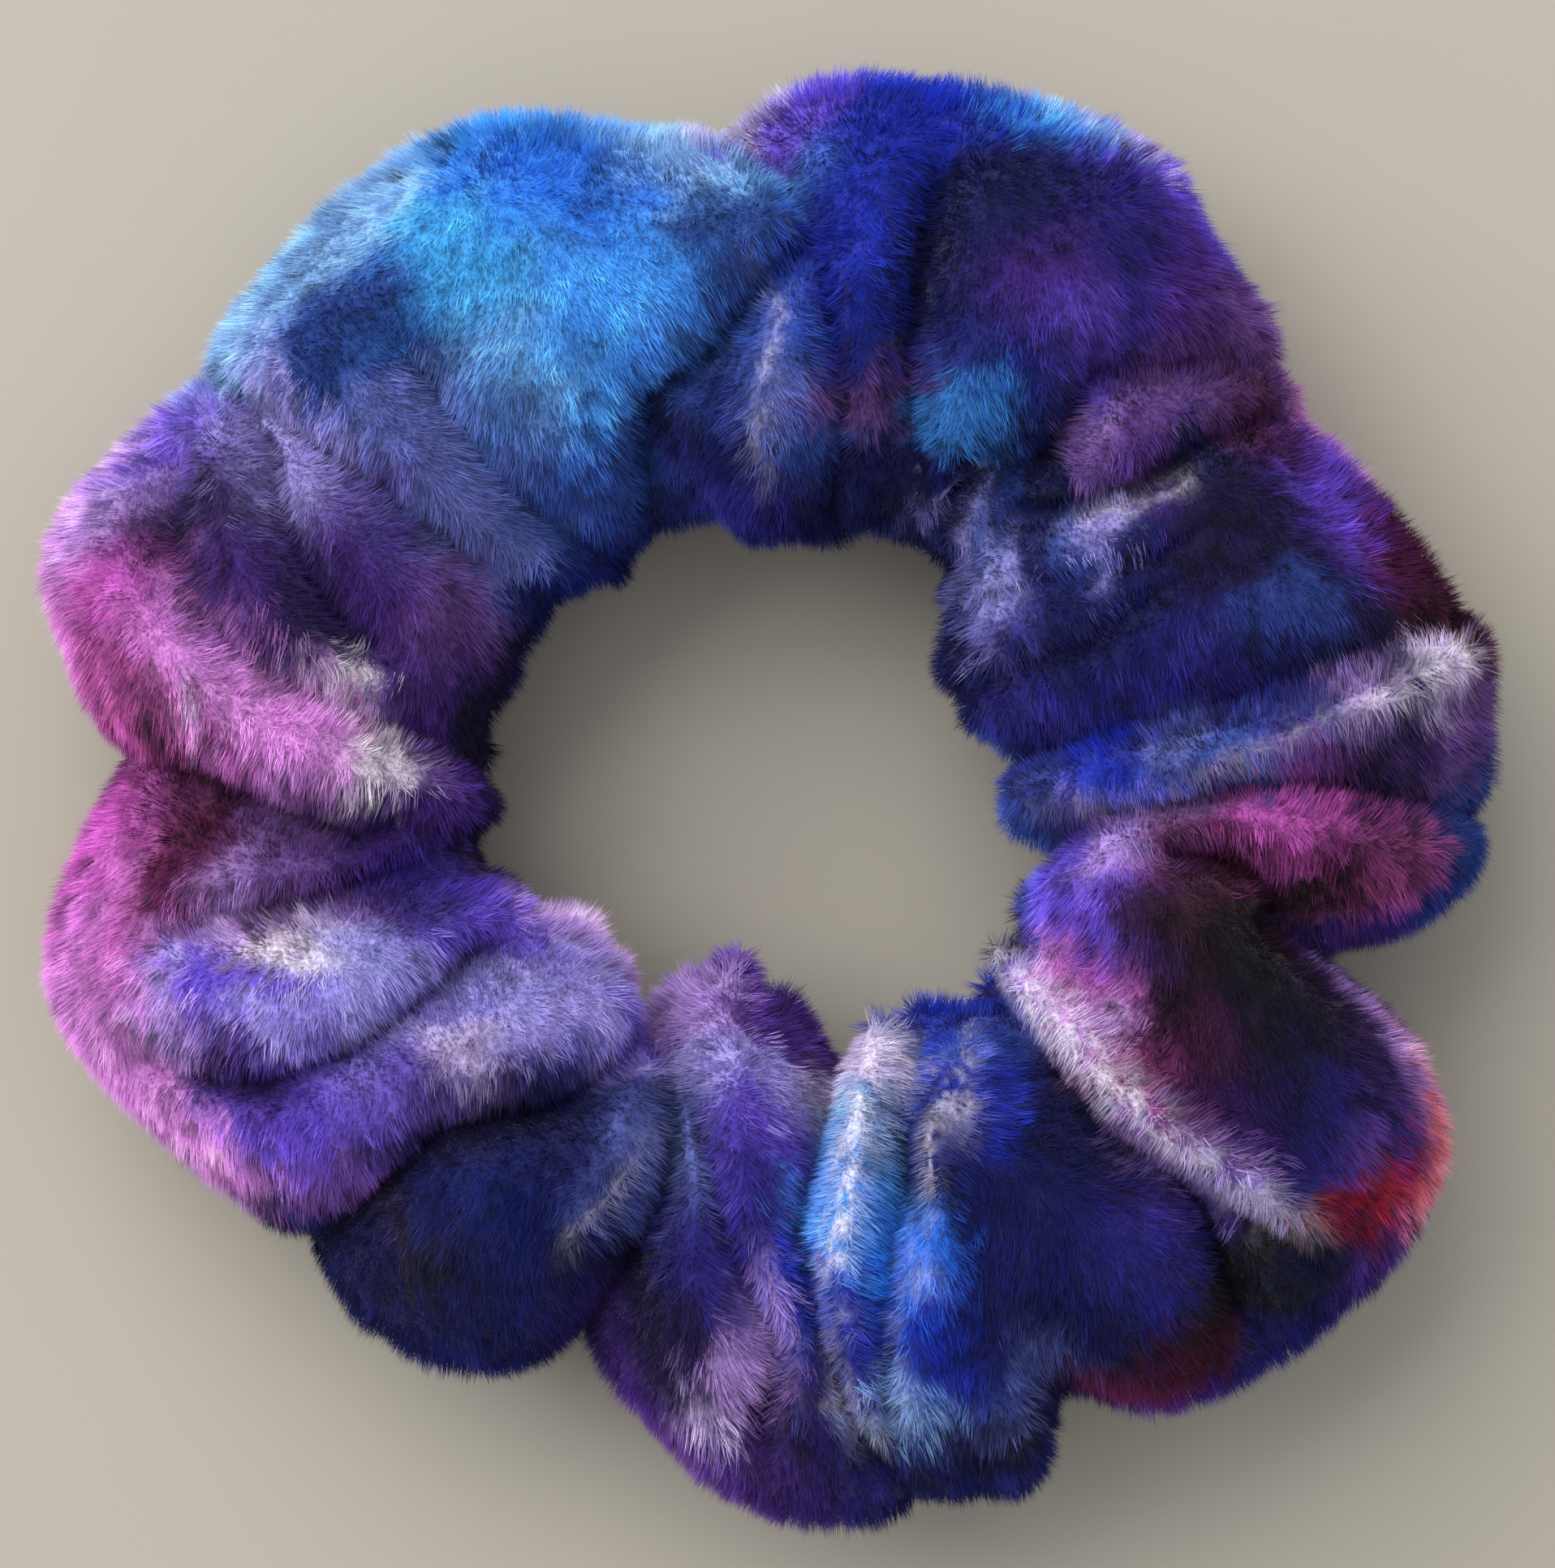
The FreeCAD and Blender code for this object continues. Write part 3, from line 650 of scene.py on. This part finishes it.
class Finish:
    """A material under construction: its Principled shader and the nodes of its pattern.

    Every pattern lies on the object's own coordinates. Each method but the last adds a node.
    """

    def __init__(self, name, roughness, sheen=0.0, sheen_roughness=0.5):
        self.material = bpy.data.materials.new(name)
        self.material.use_nodes = True
        self.nodes = self.material.node_tree.nodes
        self.links = self.material.node_tree.links
        self.shader = self.nodes["Principled BSDF"]
        self.shader.inputs["Roughness"].default_value = roughness
        self.shader.inputs["Sheen Weight"].default_value = sheen
        self.shader.inputs["Sheen Roughness"].default_value = sheen_roughness
        self.shader.inputs["Specular IOR Level"].default_value = 0.25
        self.place = self.nodes.new("ShaderNodeTexCoord").outputs["Object"]

    def dye(self):
        """The dye that each vertex carries, with its painted shade."""
        attribute = self.nodes.new("ShaderNodeAttribute")
        attribute.attribute_name = "dye"
        return attribute.outputs["Color"]

    def clouds(self, scale):
        """A noise texture from 0 to 1."""
        texture = self.nodes.new("ShaderNodeTexNoise")
        texture.inputs["Scale"].default_value = scale
        self.links.new(self.place, texture.inputs["Vector"])
        return texture.outputs["Fac"]

    def bands(self, direction, scale, distortion=0.0, detail_scale=1.0):
        """A wave texture, whose bands cross this direction."""
        texture = self.nodes.new("ShaderNodeTexWave")
        texture.bands_direction = direction
        texture.inputs["Scale"].default_value = scale
        texture.inputs["Distortion"].default_value = distortion
        texture.inputs["Detail Scale"].default_value = detail_scale
        self.links.new(self.place, texture.inputs["Vector"])
        return texture.outputs

    def ramp(self, value, low, high):
        """Runs from one colour to another, each given with its place from 0 to 1."""
        ramp = self.nodes.new("ShaderNodeValToRGB")
        for element, (place, colour) in zip(ramp.color_ramp.elements, (low, high)):
            element.position = place
            element.color = (*colour, 1.0)
        self.links.new(value, ramp.inputs["Fac"])
        return ramp.outputs["Color"]

    def mix(self, factor, first, second, blend="MIX"):
        """Mixes two colours. Each input is a socket or a plain value."""
        mix = self.nodes.new("ShaderNodeMix")
        mix.data_type = "RGBA"
        mix.blend_type = blend
        for index, value in ((0, factor), (6, first), (7, second)):
            if isinstance(value, bpy.types.NodeSocket):
                self.links.new(value, mix.inputs[index])
            elif index:
                mix.inputs[index].default_value = (*value, 1.0)
            else:
                mix.inputs[index].default_value = value
        return mix.outputs[2]

    def done(self, colour, height=None, depth=0.0):
        """Joins the colour, and a bump of this depth in metres, and returns the material."""
        self.links.new(colour, self.shader.inputs["Base Color"])
        if height is not None:
            bump = self.nodes.new("ShaderNodeBump")
            bump.inputs["Distance"].default_value = depth
            self.links.new(height, bump.inputs["Height"])
            self.links.new(bump.outputs["Normal"], self.shader.inputs["Normal"])
        return self.material


def grey(tone):
    """A grey as red, green and blue."""
    return (tone,) * 3


def shade(colour, share):
    """The colour at this share of its brightness."""
    return tuple(share * part for part in colour)


def pile_material():
    """Dyed fibres with a fine grain, each coloured from its root, darkened with painted shade, to its
    tip.
    """
    finish = Finish("dyed_pile", 0.85, 0.08, 0.18)
    grain = finish.ramp(finish.clouds(900.0), (0.3, grey(0.78)), (0.7, grey(1.0)))
    return finish.done(finish.mix(1.0, finish.dye(), grain, "MULTIPLY"))


def cloth_material():
    """The knit that the pile grows from, dyed through in places, darkened by the painted shade in its
    vertex colours, and covered in short fluff.
    """
    finish = Finish("knit_ground", 0.92, 0.1)
    fluff = finish.clouds(2600.0)
    tone = finish.ramp(fluff, (0.35, grey(0.55)), (0.65, grey(1.0)))
    return finish.done(finish.mix(1.0, finish.dye(), tone, "MULTIPLY"), fluff, 0.0003)


def elastic_material(colour):
    """Flat braided elastic: diagonal yarns over rubber cords that run round the loop."""
    finish = Finish("braided_elastic", 0.6, 0.15)
    cords = finish.bands("Z", 420.0, 2.0, 3.0)["Color"]
    yarns = finish.bands("DIAGONAL", 700.0)["Color"]
    braid = finish.mix(0.5, cords, yarns)
    return finish.done(finish.mix(braid, shade(colour, 0.55), tuple(colour)), braid, 0.0003)


def thread_material(name, colour):
    """Spun thread: fine plies that wind along it, a little darker between them."""
    finish = Finish(name, 0.55, 0.2)
    plies = finish.bands("DIAGONAL", 1500.0, 1.0)["Fac"]
    return finish.done(finish.mix(plies, shade(colour, 0.45), tuple(colour)), plies, 0.0001)


def floor_material(colour):
    """A plain pale matt board with a faint mottle."""
    finish = Finish("pale_board", 0.75)
    mottle = finish.clouds(9.0)
    return finish.done(finish.ramp(mottle, (0.35, shade(colour, 0.96)), (0.65, tuple(colour))))


# --- What a user would change ------------------------------------------------------------


def colour_property(title, description, rgb):
    """A colour property whose default is this 0 to 255 colour."""
    return FloatVectorProperty(
        name=title,
        description=description,
        subtype="COLOR",
        size=3,
        min=0.0,
        max=1.0,
        default=tuple(linear(rgb)),
    )


def dye_property(dye):
    """A colour property for the named dye."""
    title = dye.replace("_", " ").capitalize()
    return colour_property(title, f"The {title.lower()} dye on the pile", DYES[dye])


def length_property(title, description, default):
    """A length property whose default is in metres."""
    return FloatProperty(name=title, description=description, default=default, unit="LENGTH")


class ScrunchieDyes(bpy.types.PropertyGroup):
    """The colour of each dye that the cloth is splashed with."""

    __annotations__ = {dye: dye_property(dye) for dye in DYES}


class ScrunchieColours(bpy.types.PropertyGroup):
    """The colours of everything but the dyes."""

    root: colour_property("Pile root", "The undyed foot of each fibre", (226, 218, 236))
    elastic: colour_property("Elastic", "The braided elastic inside the sleeve", (226, 223, 214))
    join_thread: colour_property(
        "Join thread", "The zigzag thread that closes the elastic loop", (232, 229, 222)
    )
    seam_thread: colour_property(
        "Seam thread", "The thread of the sleeve's two seams", (34, 36, 104)
    )
    board: colour_property("Board", "The surface that the ring lies on", (152, 147, 137))


class ScrunchieSizes(bpy.types.PropertyGroup):
    """The sizes of the cloth, its pile and the stage."""

    strip_width: length_property(
        "Strip width", "Width of the plush strip between the lines of its long seam", 0.1
    )
    strip_length: length_property(
        "Strip length",
        "Length of the plush strip between the lines of its closing seam, before it is gathered",
        0.38,
    )
    cloth_thickness: length_property(
        "Cloth thickness", "Thickness of the knit ground without its pile", 0.0012
    )
    pile_length: length_property(
        "Pile length", "Length of a fibre lock from root to tip", 0.0018
    )
    fibre_width: length_property("Fibre width", "Width of a fibre lock at its root", 0.0001)
    tufts: IntProperty(
        name="Tufts",
        description="How many tufts the pile has",
        default=54000,
        min=1000,
    )
    fibres: IntProperty(
        name="Fibres in a tuft",
        description="How many fibre locks each tuft has",
        default=8,
        min=3,
    )
    camera_height: length_property(
        "Camera height", "Height of the camera over the board", 0.42
    )
    view_width: length_property(
        "View width", "Width of what the camera takes in, at the height of the ring's outline", 0.116
    )
    board_width: length_property(
        "Board width", "Width of the surface that the ring lies on", 1.6
    )


# --- Ground cloth ------------------------------------------------------------------------

RING_STEPS, TUBE_STEPS = 450, 156
INNER_SHARE = 2  # the inner face has one point for this many of the outer face's, each way
CREASE_INSET = 0.06  # how much deeper the inner face lies for each millimetre of crease
GROUND_PAINTED_SHADE = 0.7  # painted shade: the ground's dye is this share as bright as the pile's, for the shade between the fibres


def cloth_grid():
    """Everything that the cloth and its pile read from the outer face's grid."""
    ring, tube = grid_angles(RING_STEPS, TUBE_STEPS)
    points = cloth_points(ring, tube)
    along, round_tube, outward = grid_frame(points)
    radius = np.hypot(points[..., 0], points[..., 1])
    bare, push = parting(ring, tube, points)
    return {
        "ring": ring,
        "tube": tube,
        "points": points,
        "along": along,
        "round": round_tube,
        "outward": outward,
        "bare": bare,
        "push": push,
        "depth": crease_depth(ring, tube, radius),
    }


def dye_table(scene):
    """The dyes' linear colours by name."""
    return {dye: np.array(getattr(scene.scrunchie_dyes, dye)) for dye in DYES}


def every_other(field):
    """The outer face's values at the inner face's points."""
    return field[::INNER_SHARE, ::INNER_SHARE]


def ground_tones(grid, dyes, root_colour):
    """The dye on the outer face, darkened with painted shade for the shade between the fibres, and
    then on the inner face, scaled by 0.8 and lifted by 0.02, with pale flecked partings.
    """
    white = np.array(root_colour)
    # painted shade: the ground's dye is darkened to stand for the shade between the fibres
    colour = dye_colour(grid["ring"].ravel(), grid["tube"].ravel(), dyes) * GROUND_PAINTED_SHADE
    flecks = noise(grid["points"].reshape(-1, 3), 0.9, 33) > 0.2
    bare = np.where(flecks, 0.0, grid["bare"].ravel())[:, None]
    colour = colour * (1 - bare) + white * bare
    inside = every_other(colour.reshape(*grid["ring"].shape, 3)).reshape(-1, 3) * 0.8 + 0.02
    return np.concatenate([colour, inside])


class SCRUNCHIE_OT_ground_cloth(bpy.types.Operator):
    """Make the gathered tube of knit cloth that the pile grows from"""

    bl_idname = "scrunchie.ground_cloth"
    bl_label = "Ground cloth"

    def execute(self, context):
        scene = context.scene
        grid = cloth_grid()
        outer, ring, tube = grid["points"], grid["ring"], grid["tube"]
        thickness = scene.scrunchie_sizes.cloth_thickness / MM
        inset = thickness + CREASE_INSET * grid["depth"][..., None]
        inner = every_other(outer - grid["outward"] * inset)
        points = np.concatenate([outer.reshape(-1, 3), inner.reshape(-1, 3)])
        facing = np.cross(outer[1, 0] - outer[0, 0], outer[0, 1] - outer[0, 0])
        flip = bool(np.sum(facing * grid["outward"][0, 0]) < 0)
        outer_faces = grid_faces(*ring.shape, flip=flip)
        inner_faces = grid_faces(*inner.shape[:2], first=ring.size, flip=not flip)
        piece = new_piece("plush_ground", points, np.concatenate([outer_faces, inner_faces]))
        add_dye(piece, ground_tones(grid, dye_table(scene), scene.scrunchie_colours.root))
        u = np.concatenate([ring.ravel(), every_other(ring).ravel()]) / 360
        low = tube.ravel() / 720
        high = every_other(tube).ravel() / 720 + 0.5
        add_map(piece, u, np.concatenate([low, high]))
        piece.data.materials.append(cloth_material())
        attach(piece, "sleeve")
        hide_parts("plush_sleeve")
        return {"FINISHED"}


# --- Pile --------------------------------------------------------------------------------

PILE_PIECES = 9
NAP = np.array([0.1, -0.75, -0.2])  # where the pile leans as a whole
LEAN = 1.35  # how far it leans: 0 would stand it straight up
ROOT_DEPTH = 0.35  # how deep a fibre is sunk in the cloth
TUFT_SPREAD = 0.7  # how far a tuft's roots stand from its middle
TIP_SHARE = 0.66  # how much of that spread is left at the tips
DYE_BLUR = 0.9  # how far the dye on a tuft can come from beside it
DYE_RING = 35  # the ring radius at which that step is turned into an angle
FLECK_SHARE = 0.16  # how many of a parting's tufts stay dyed
FLOOR_CLEARANCE = 0.02  # the lowest that a fibre reaches over the floor


def tuft_places(grid, count, random):
    """Ring and tube angles of the tufts, as many on each face of the grid as its area asks.

    The faces' areas are summed in order, and the tufts stand at even steps of that sum,
    each at a random place in its face. Pressed pile on the underside is thinner.
    """
    points = grid["points"]
    side = np.roll(points, -1, 0) - points
    climb = np.roll(points, -1, 1) - points
    area = np.linalg.norm(np.cross(side, climb), axis=-1)
    area *= np.clip(0.75 + 0.6 * grid["outward"][..., 2], 0.4, 1.0)
    total = np.cumsum(area.ravel())
    marks = (np.arange(count) + random.uniform(0, 1, count)) / count * total[-1]
    face = np.searchsorted(total, marks)
    i, j = np.divmod(np.minimum(face, total.size - 1), TUBE_STEPS)
    ring = (i + random.uniform(0, 1, count)) * 360 / RING_STEPS
    tube = (j + random.uniform(0, 1, count)) * 360 / TUBE_STEPS
    return ring, tube


def sway_of(points):
    """How the nap wanders from place to place: one smooth noise for each axis."""
    return np.stack([noise(points, 9.0, 10 + axis) for axis in range(3)], -1)


def lean_of(points, outward, along, push, random):
    """The direction that each tuft grows in.

    The nap and noise are laid flat on the cloth, the parting's push is added along the
    ring, and the sum, times the lean, is added to the cloth's own normal.
    """
    curl = np.stack([noise(points, 2.4, 20 + axis) for axis in range(3)], -1)
    ruffle = random.normal(0, 0.1, points.shape)
    lean = NAP + 0.6 * sway_of(points) + 0.3 * curl + ruffle
    lean -= np.sum(lean * outward, -1, keepdims=True) * outward
    lean += 1.5 * push[:, None] * along
    return unit(outward + LEAN * lean)


def tuft_lengths(pile_length, middle, depth, bare, random):
    """How long each tuft is: shorter in creases, at partings and where the floor presses it."""
    length = pile_length * (1 + 0.18 * noise(middle, 3.0, 14))
    length *= random.uniform(0.8, 1.15, len(middle))
    length *= 1 - 0.055 * depth
    length *= 1 - 0.4 * bare
    return length * np.where(middle[:, 2] < 2.0, 0.6, 1.0)


def tuft_tones(ring, tube, middle, depth, bare, dyes, root_colour, random):
    """The colour of each tuft at its roots and at its tips.

    Painted shade darkens the dye in creases, and the dye is lighter or darker in streaks and
    lumps of noise. Pale veins follow the line where one noise is zero, and dark specks the
    peaks of another. Away from partings the roots carry painted shade, at 0.6 of the tips'
    brightness. At a parting the root colour shows, tinted with the dye, but for a few tufts
    that stay dyed.
    """
    streak = middle * [1 / 0.8, 1 / 2.6, 1 / 2.0]
    tone = 1 + 0.42 * noise(streak, 1.0, 15) + random.normal(0, 0.08, len(ring))
    tone *= 1 + 0.35 * noise(middle, 4.0, 16)
    # painted shade: the dye is darkened in creases, by the crease's depth, up to 0.55
    tone *= 1 - np.clip(0.075 * depth, 0, 0.55)
    blot = random.normal(0, DYE_BLUR, (2, len(ring)))
    from_ring = ring + np.degrees(blot[0] / DYE_RING)
    from_tube = tube + np.degrees(blot[1] / TUBE_ROUND)
    colour = dye_colour(from_ring, from_tube, dyes) * np.clip(tone, 0.2, 1.9)[:, None]

    white = np.array(root_colour)
    veins = np.exp(-((noise(middle + 0.8 * sway_of(middle), 3.0, 17) / 0.12) ** 2))
    pale = 0.8 * veins * np.clip(0.5 + 1.2 * noise(middle, 11.0, 18), 0, 1)
    colour = colour * (1 + 1.3 * pale)[:, None] + 0.03 * pale[:, None] * white
    specks = np.clip(6 * (noise(middle, 1.1, 19) - 0.35), 0, 1) * (noise(middle, 9.0, 21) > 0)
    colour = colour * (1 - 0.65 * specks)[:, None]

    flecked = random.uniform(0, 1, len(ring)) < FLECK_SHARE
    bared = np.where(flecked, 0.0, np.clip(1.2 * bare, 0, 1))[:, None]
    tint = 0.7 * white + 0.3 * np.sqrt(colour)
    # painted shade: away from partings the roots are 0.6 as bright as the tips' dye
    shaded_root_tone = colour * 0.6 * (1 - bared) + tint * bared
    tip_tone = colour * (1 - 0.5 * bared) + tint * 0.5 * bared
    return shaded_root_tone, tip_tone


def fibre_fields(grid, sizes, dyes, root_colour, random):
    """The root, tip, thickness, colour and map place of every fibre, tuft by tuft."""
    ring, tube = tuft_places(grid, sizes.tufts, random)
    middle = sample(grid["points"], ring, tube)
    outward = unit(sample(grid["outward"], ring, tube))
    along = unit(sample(grid["along"], ring, tube))
    round_tube = unit(np.cross(outward, along))
    bare, push = sample(grid["bare"], ring, tube), sample(grid["push"], ring, tube)
    depth = sample(grid["depth"], ring, tube)
    grow = lean_of(middle, outward, along, push, random)
    length = tuft_lengths(sizes.pile_length / MM, middle, depth, bare, random)
    shaded_root_tone, tip_tone = tuft_tones(
        ring, tube, middle, depth, bare, dyes, root_colour, random
    )

    count = sizes.fibres
    spread = TUFT_SPREAD * np.sqrt(random.uniform(0, 1, (len(ring), count)))
    angle = random.uniform(0, 2 * math.pi, (len(ring), count))
    step = spread * np.cos(angle), spread * np.sin(angle)
    offset = step[0][..., None] * along[:, None] + step[1][..., None] * round_tube[:, None]
    root = middle[:, None] + offset - ROOT_DEPTH * outward[:, None]
    reach = length[:, None] * random.uniform(0.75, 1.1, (len(ring), count))
    tip = middle[:, None] + offset * TIP_SHARE + grow[:, None] * reach[..., None]
    tip += random.normal(0, 0.13, tip.shape)
    vary = random.uniform(0.85, 1.15, (len(ring), count, 1))
    return {
        "root": root.reshape(-1, 3),
        "tip": tip.reshape(-1, 3),
        "along": np.repeat(along, count, 0),
        "round": np.repeat(round_tube, count, 0),
        "width": sizes.fibre_width / MM * random.uniform(0.7, 1.2, root.shape[0] * count),
        "shaded_root_tone": np.clip(shaded_root_tone[:, None] * vary, 0, 1).reshape(-1, 3),
        "tip_tone": np.clip(tip_tone[:, None] * vary, 0, 1).reshape(-1, 3),
        "u": np.repeat(ring / 360, count),
        "v": np.repeat(tube / 360, count),
    }


FIBRE_FACES = np.array([[0, 1, 3], [1, 2, 3], [2, 0, 3], [0, 2, 1]])


def fibre_piece(name, fibres, pick, random):
    """A piece of the pile: each fibre is a closed three-sided spike.

    Three root corners stand at thirds of a turn round the root, half a width away, and the
    fourth corner is the tip.
    """
    count = len(pick)
    turn = random.uniform(0, 2 * math.pi, count)
    half = fibres["width"][pick] / 2
    corners = []
    for third in range(3):
        angle = turn + third * 2 * math.pi / 3
        side = (half * np.cos(angle))[:, None] * fibres["along"][pick]
        side += (half * np.sin(angle))[:, None] * fibres["round"][pick]
        corners.append(fibres["root"][pick] + side)
    corners.append(fibres["tip"][pick])
    points = np.stack(corners, 1).reshape(-1, 3)
    points[:, 2] = np.maximum(points[:, 2], FLOOR_CLEARANCE)
    faces = (np.arange(count)[:, None, None] * 4 + FIBRE_FACES).reshape(-1, 3)
    piece = new_piece(name, points, faces, smooth=False)
    root, tip = fibres["shaded_root_tone"][pick], fibres["tip_tone"][pick]
    add_dye(piece, np.stack([root, root, root, tip], 1).reshape(-1, 3))
    add_map(piece, np.repeat(fibres["u"][pick], 4), np.repeat(fibres["v"][pick], 4))
    return piece


class SCRUNCHIE_OT_pile(bpy.types.Operator):
    """Grow the dyed pile on the cloth, in pieces that follow each other round the ring"""

    bl_idname = "scrunchie.pile"
    bl_label = "Pile"

    def execute(self, context):
        scene = context.scene
        sizes = scene.scrunchie_sizes
        cloth = bpy.data.objects.get("plush_ground")
        if cloth is None:
            raise RuntimeError("make the ground cloth before its pile")
        random = np.random.default_rng(5)
        root = scene.scrunchie_colours.root
        fibres = fibre_fields(cloth_grid(), sizes, dye_table(scene), root, random)
        material = pile_material()
        order = np.argsort(fibres["u"], kind="stable")
        for index, pick in enumerate(np.array_split(order, PILE_PIECES), 1):
            piece = fibre_piece(f"plush_pile_{index}", fibres, pick, random)
            piece.data.materials.append(material)
            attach(piece, "sleeve")
        return {"FINISHED"}


# --- The pieces inside -------------------------------------------------------------------


def finish_nodes(names, material):
    """Gives the named CAD nodes this material in place of their own."""
    for name in names:
        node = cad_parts[name]
        node.data.materials.clear()
        node.data.materials.append(material)


class SCRUNCHIE_OT_elastic(bpy.types.Operator):
    """Finish the braided elastic and the thread that closes its loop"""

    bl_idname = "scrunchie.elastic"
    bl_label = "Elastic"

    def execute(self, context):
        colours = context.scene.scrunchie_colours
        finish_nodes(["elastic_band"], elastic_material(colours.elastic))
        joins = ["elastic_join_needle_thread", "elastic_join_bobbin_thread"]
        finish_nodes(joins, thread_material("join_thread", colours.join_thread))
        return {"FINISHED"}


class SCRUNCHIE_OT_seam_threads(bpy.types.Operator):
    """Finish the threads of the sleeve's long seam and closing seam"""

    bl_idname = "scrunchie.seam_threads"
    bl_label = "Seam threads"

    def execute(self, context):
        colours = context.scene.scrunchie_colours
        seams = [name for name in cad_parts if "_seam_" in name]
        finish_nodes(seams, thread_material("seam_thread", colours.seam_thread))
        return {"FINISHED"}


# --- Stage -------------------------------------------------------------------------------

VIEW_MIDDLE = (0.0005, 0.0014)  # where the camera looks, a little off the ring's middle
OUTLINE_HEIGHT = 0.013  # the height of the ring's widest outline
ROOM_LIGHT = 0.66  # the strength of the light from all sides

# The square soft lights: name, place and side in metres, power in watts, and colour.
LIGHTS = [
    ("window", (-0.55, 0.6, 0.75), 1.2, 22.0, (1.0, 0.985, 0.965)),
    ("ceiling", (-0.05, 0.1, 0.95), 1.0, 3.0, (1.0, 0.99, 0.97)),
]


def area_light(name, place, side, power, colour):
    """A square soft light at a place, turned to the middle of the floor."""
    light = bpy.data.lights.new(name, "AREA")
    light.shape = "SQUARE"
    light.size = side
    light.energy = power
    light.color = colour
    lamp = bpy.data.objects.new(name, light)
    bpy.context.scene.collection.objects.link(lamp)
    x, y, height = place
    lamp.location = place
    pitch = math.acos(height / math.hypot(x, y, height))
    heading = math.atan2(-y, -x) - math.pi / 2
    lamp.rotation_euler = (pitch, 0.0, heading)


class SCRUNCHIE_OT_stage(bpy.types.Operator):
    """Set the board, the soft lights and the camera that looks straight down"""

    bl_idname = "scrunchie.stage"
    bl_label = "Stage"

    def execute(self, context):
        scene = context.scene
        sizes = scene.scrunchie_sizes
        half = sizes.board_width / MM / 2
        corners = np.array([[-half, -half, 0], [half, -half, 0], [half, half, 0], [-half, half, 0]])
        board = new_piece("board", corners, np.array([[0, 1, 2, 3]]), smooth=False)
        board.data.materials.append(floor_material(scene.scrunchie_colours.board))

        for light in LIGHTS:
            area_light(*light)
        world = bpy.data.worlds.new("room_light")
        world.use_nodes = True
        background = world.node_tree.nodes["Background"]
        background.inputs["Color"].default_value = (0.97, 0.98, 1.0, 1.0)
        background.inputs["Strength"].default_value = ROOM_LIGHT
        scene.world = world
        scene.view_settings.view_transform = "Standard"

        camera = bpy.data.cameras.new("camera")
        camera.sensor_width = 36.0
        away = sizes.camera_height - OUTLINE_HEIGHT
        camera.lens = camera.sensor_width * away / sizes.view_width
        holder = bpy.data.objects.new("camera", camera)
        scene.collection.objects.link(holder)
        holder.location = (*VIEW_MIDDLE, sizes.camera_height)
        scene.camera = holder
        return {"FINISHED"}


# --- The add-on --------------------------------------------------------------------------

STEPS = [
    SCRUNCHIE_OT_stage,
    SCRUNCHIE_OT_ground_cloth,
    SCRUNCHIE_OT_pile,
    SCRUNCHIE_OT_elastic,
    SCRUNCHIE_OT_seam_threads,
]


class SCRUNCHIE_PT_panel(bpy.types.Panel):
    """The scrunchie's sizes, colours and steps"""

    bl_idname = "SCRUNCHIE_PT_panel"
    bl_label = "Scrunchie"
    bl_space_type = "VIEW_3D"
    bl_region_type = "UI"
    bl_category = "Scrunchie"

    def draw(self, context):
        scene = context.scene
        for group in (scene.scrunchie_sizes, scene.scrunchie_colours, scene.scrunchie_dyes):
            box = self.layout.box()
            for name in type(group).__annotations__:
                box.prop(group, name)
        for step in STEPS:
            self.layout.operator(step.bl_idname)


GROUPS = {
    "scrunchie_sizes": ScrunchieSizes,
    "scrunchie_colours": ScrunchieColours,
    "scrunchie_dyes": ScrunchieDyes,
}
CLASSES = [*GROUPS.values(), *STEPS, SCRUNCHIE_PT_panel]


def register():
    """Registers the classes and hangs the property groups on the scene."""
    for item in CLASSES:
        bpy.utils.register_class(item)
    for name, group in GROUPS.items():
        setattr(bpy.types.Scene, name, PointerProperty(type=group))


def unregister():
    """Takes back what register did."""
    for name in GROUPS:
        delattr(bpy.types.Scene, name)
    for item in reversed(CLASSES):
        bpy.utils.unregister_class(item)


def main():
    """Builds the scrunchie's looks and its stage."""
    register()
    bpy.ops.scrunchie.stage()
    bpy.ops.scrunchie.ground_cloth()
    bpy.ops.scrunchie.pile()
    bpy.ops.scrunchie.elastic()
    bpy.ops.scrunchie.seam_threads()


if __name__ == "__main__":
    main()
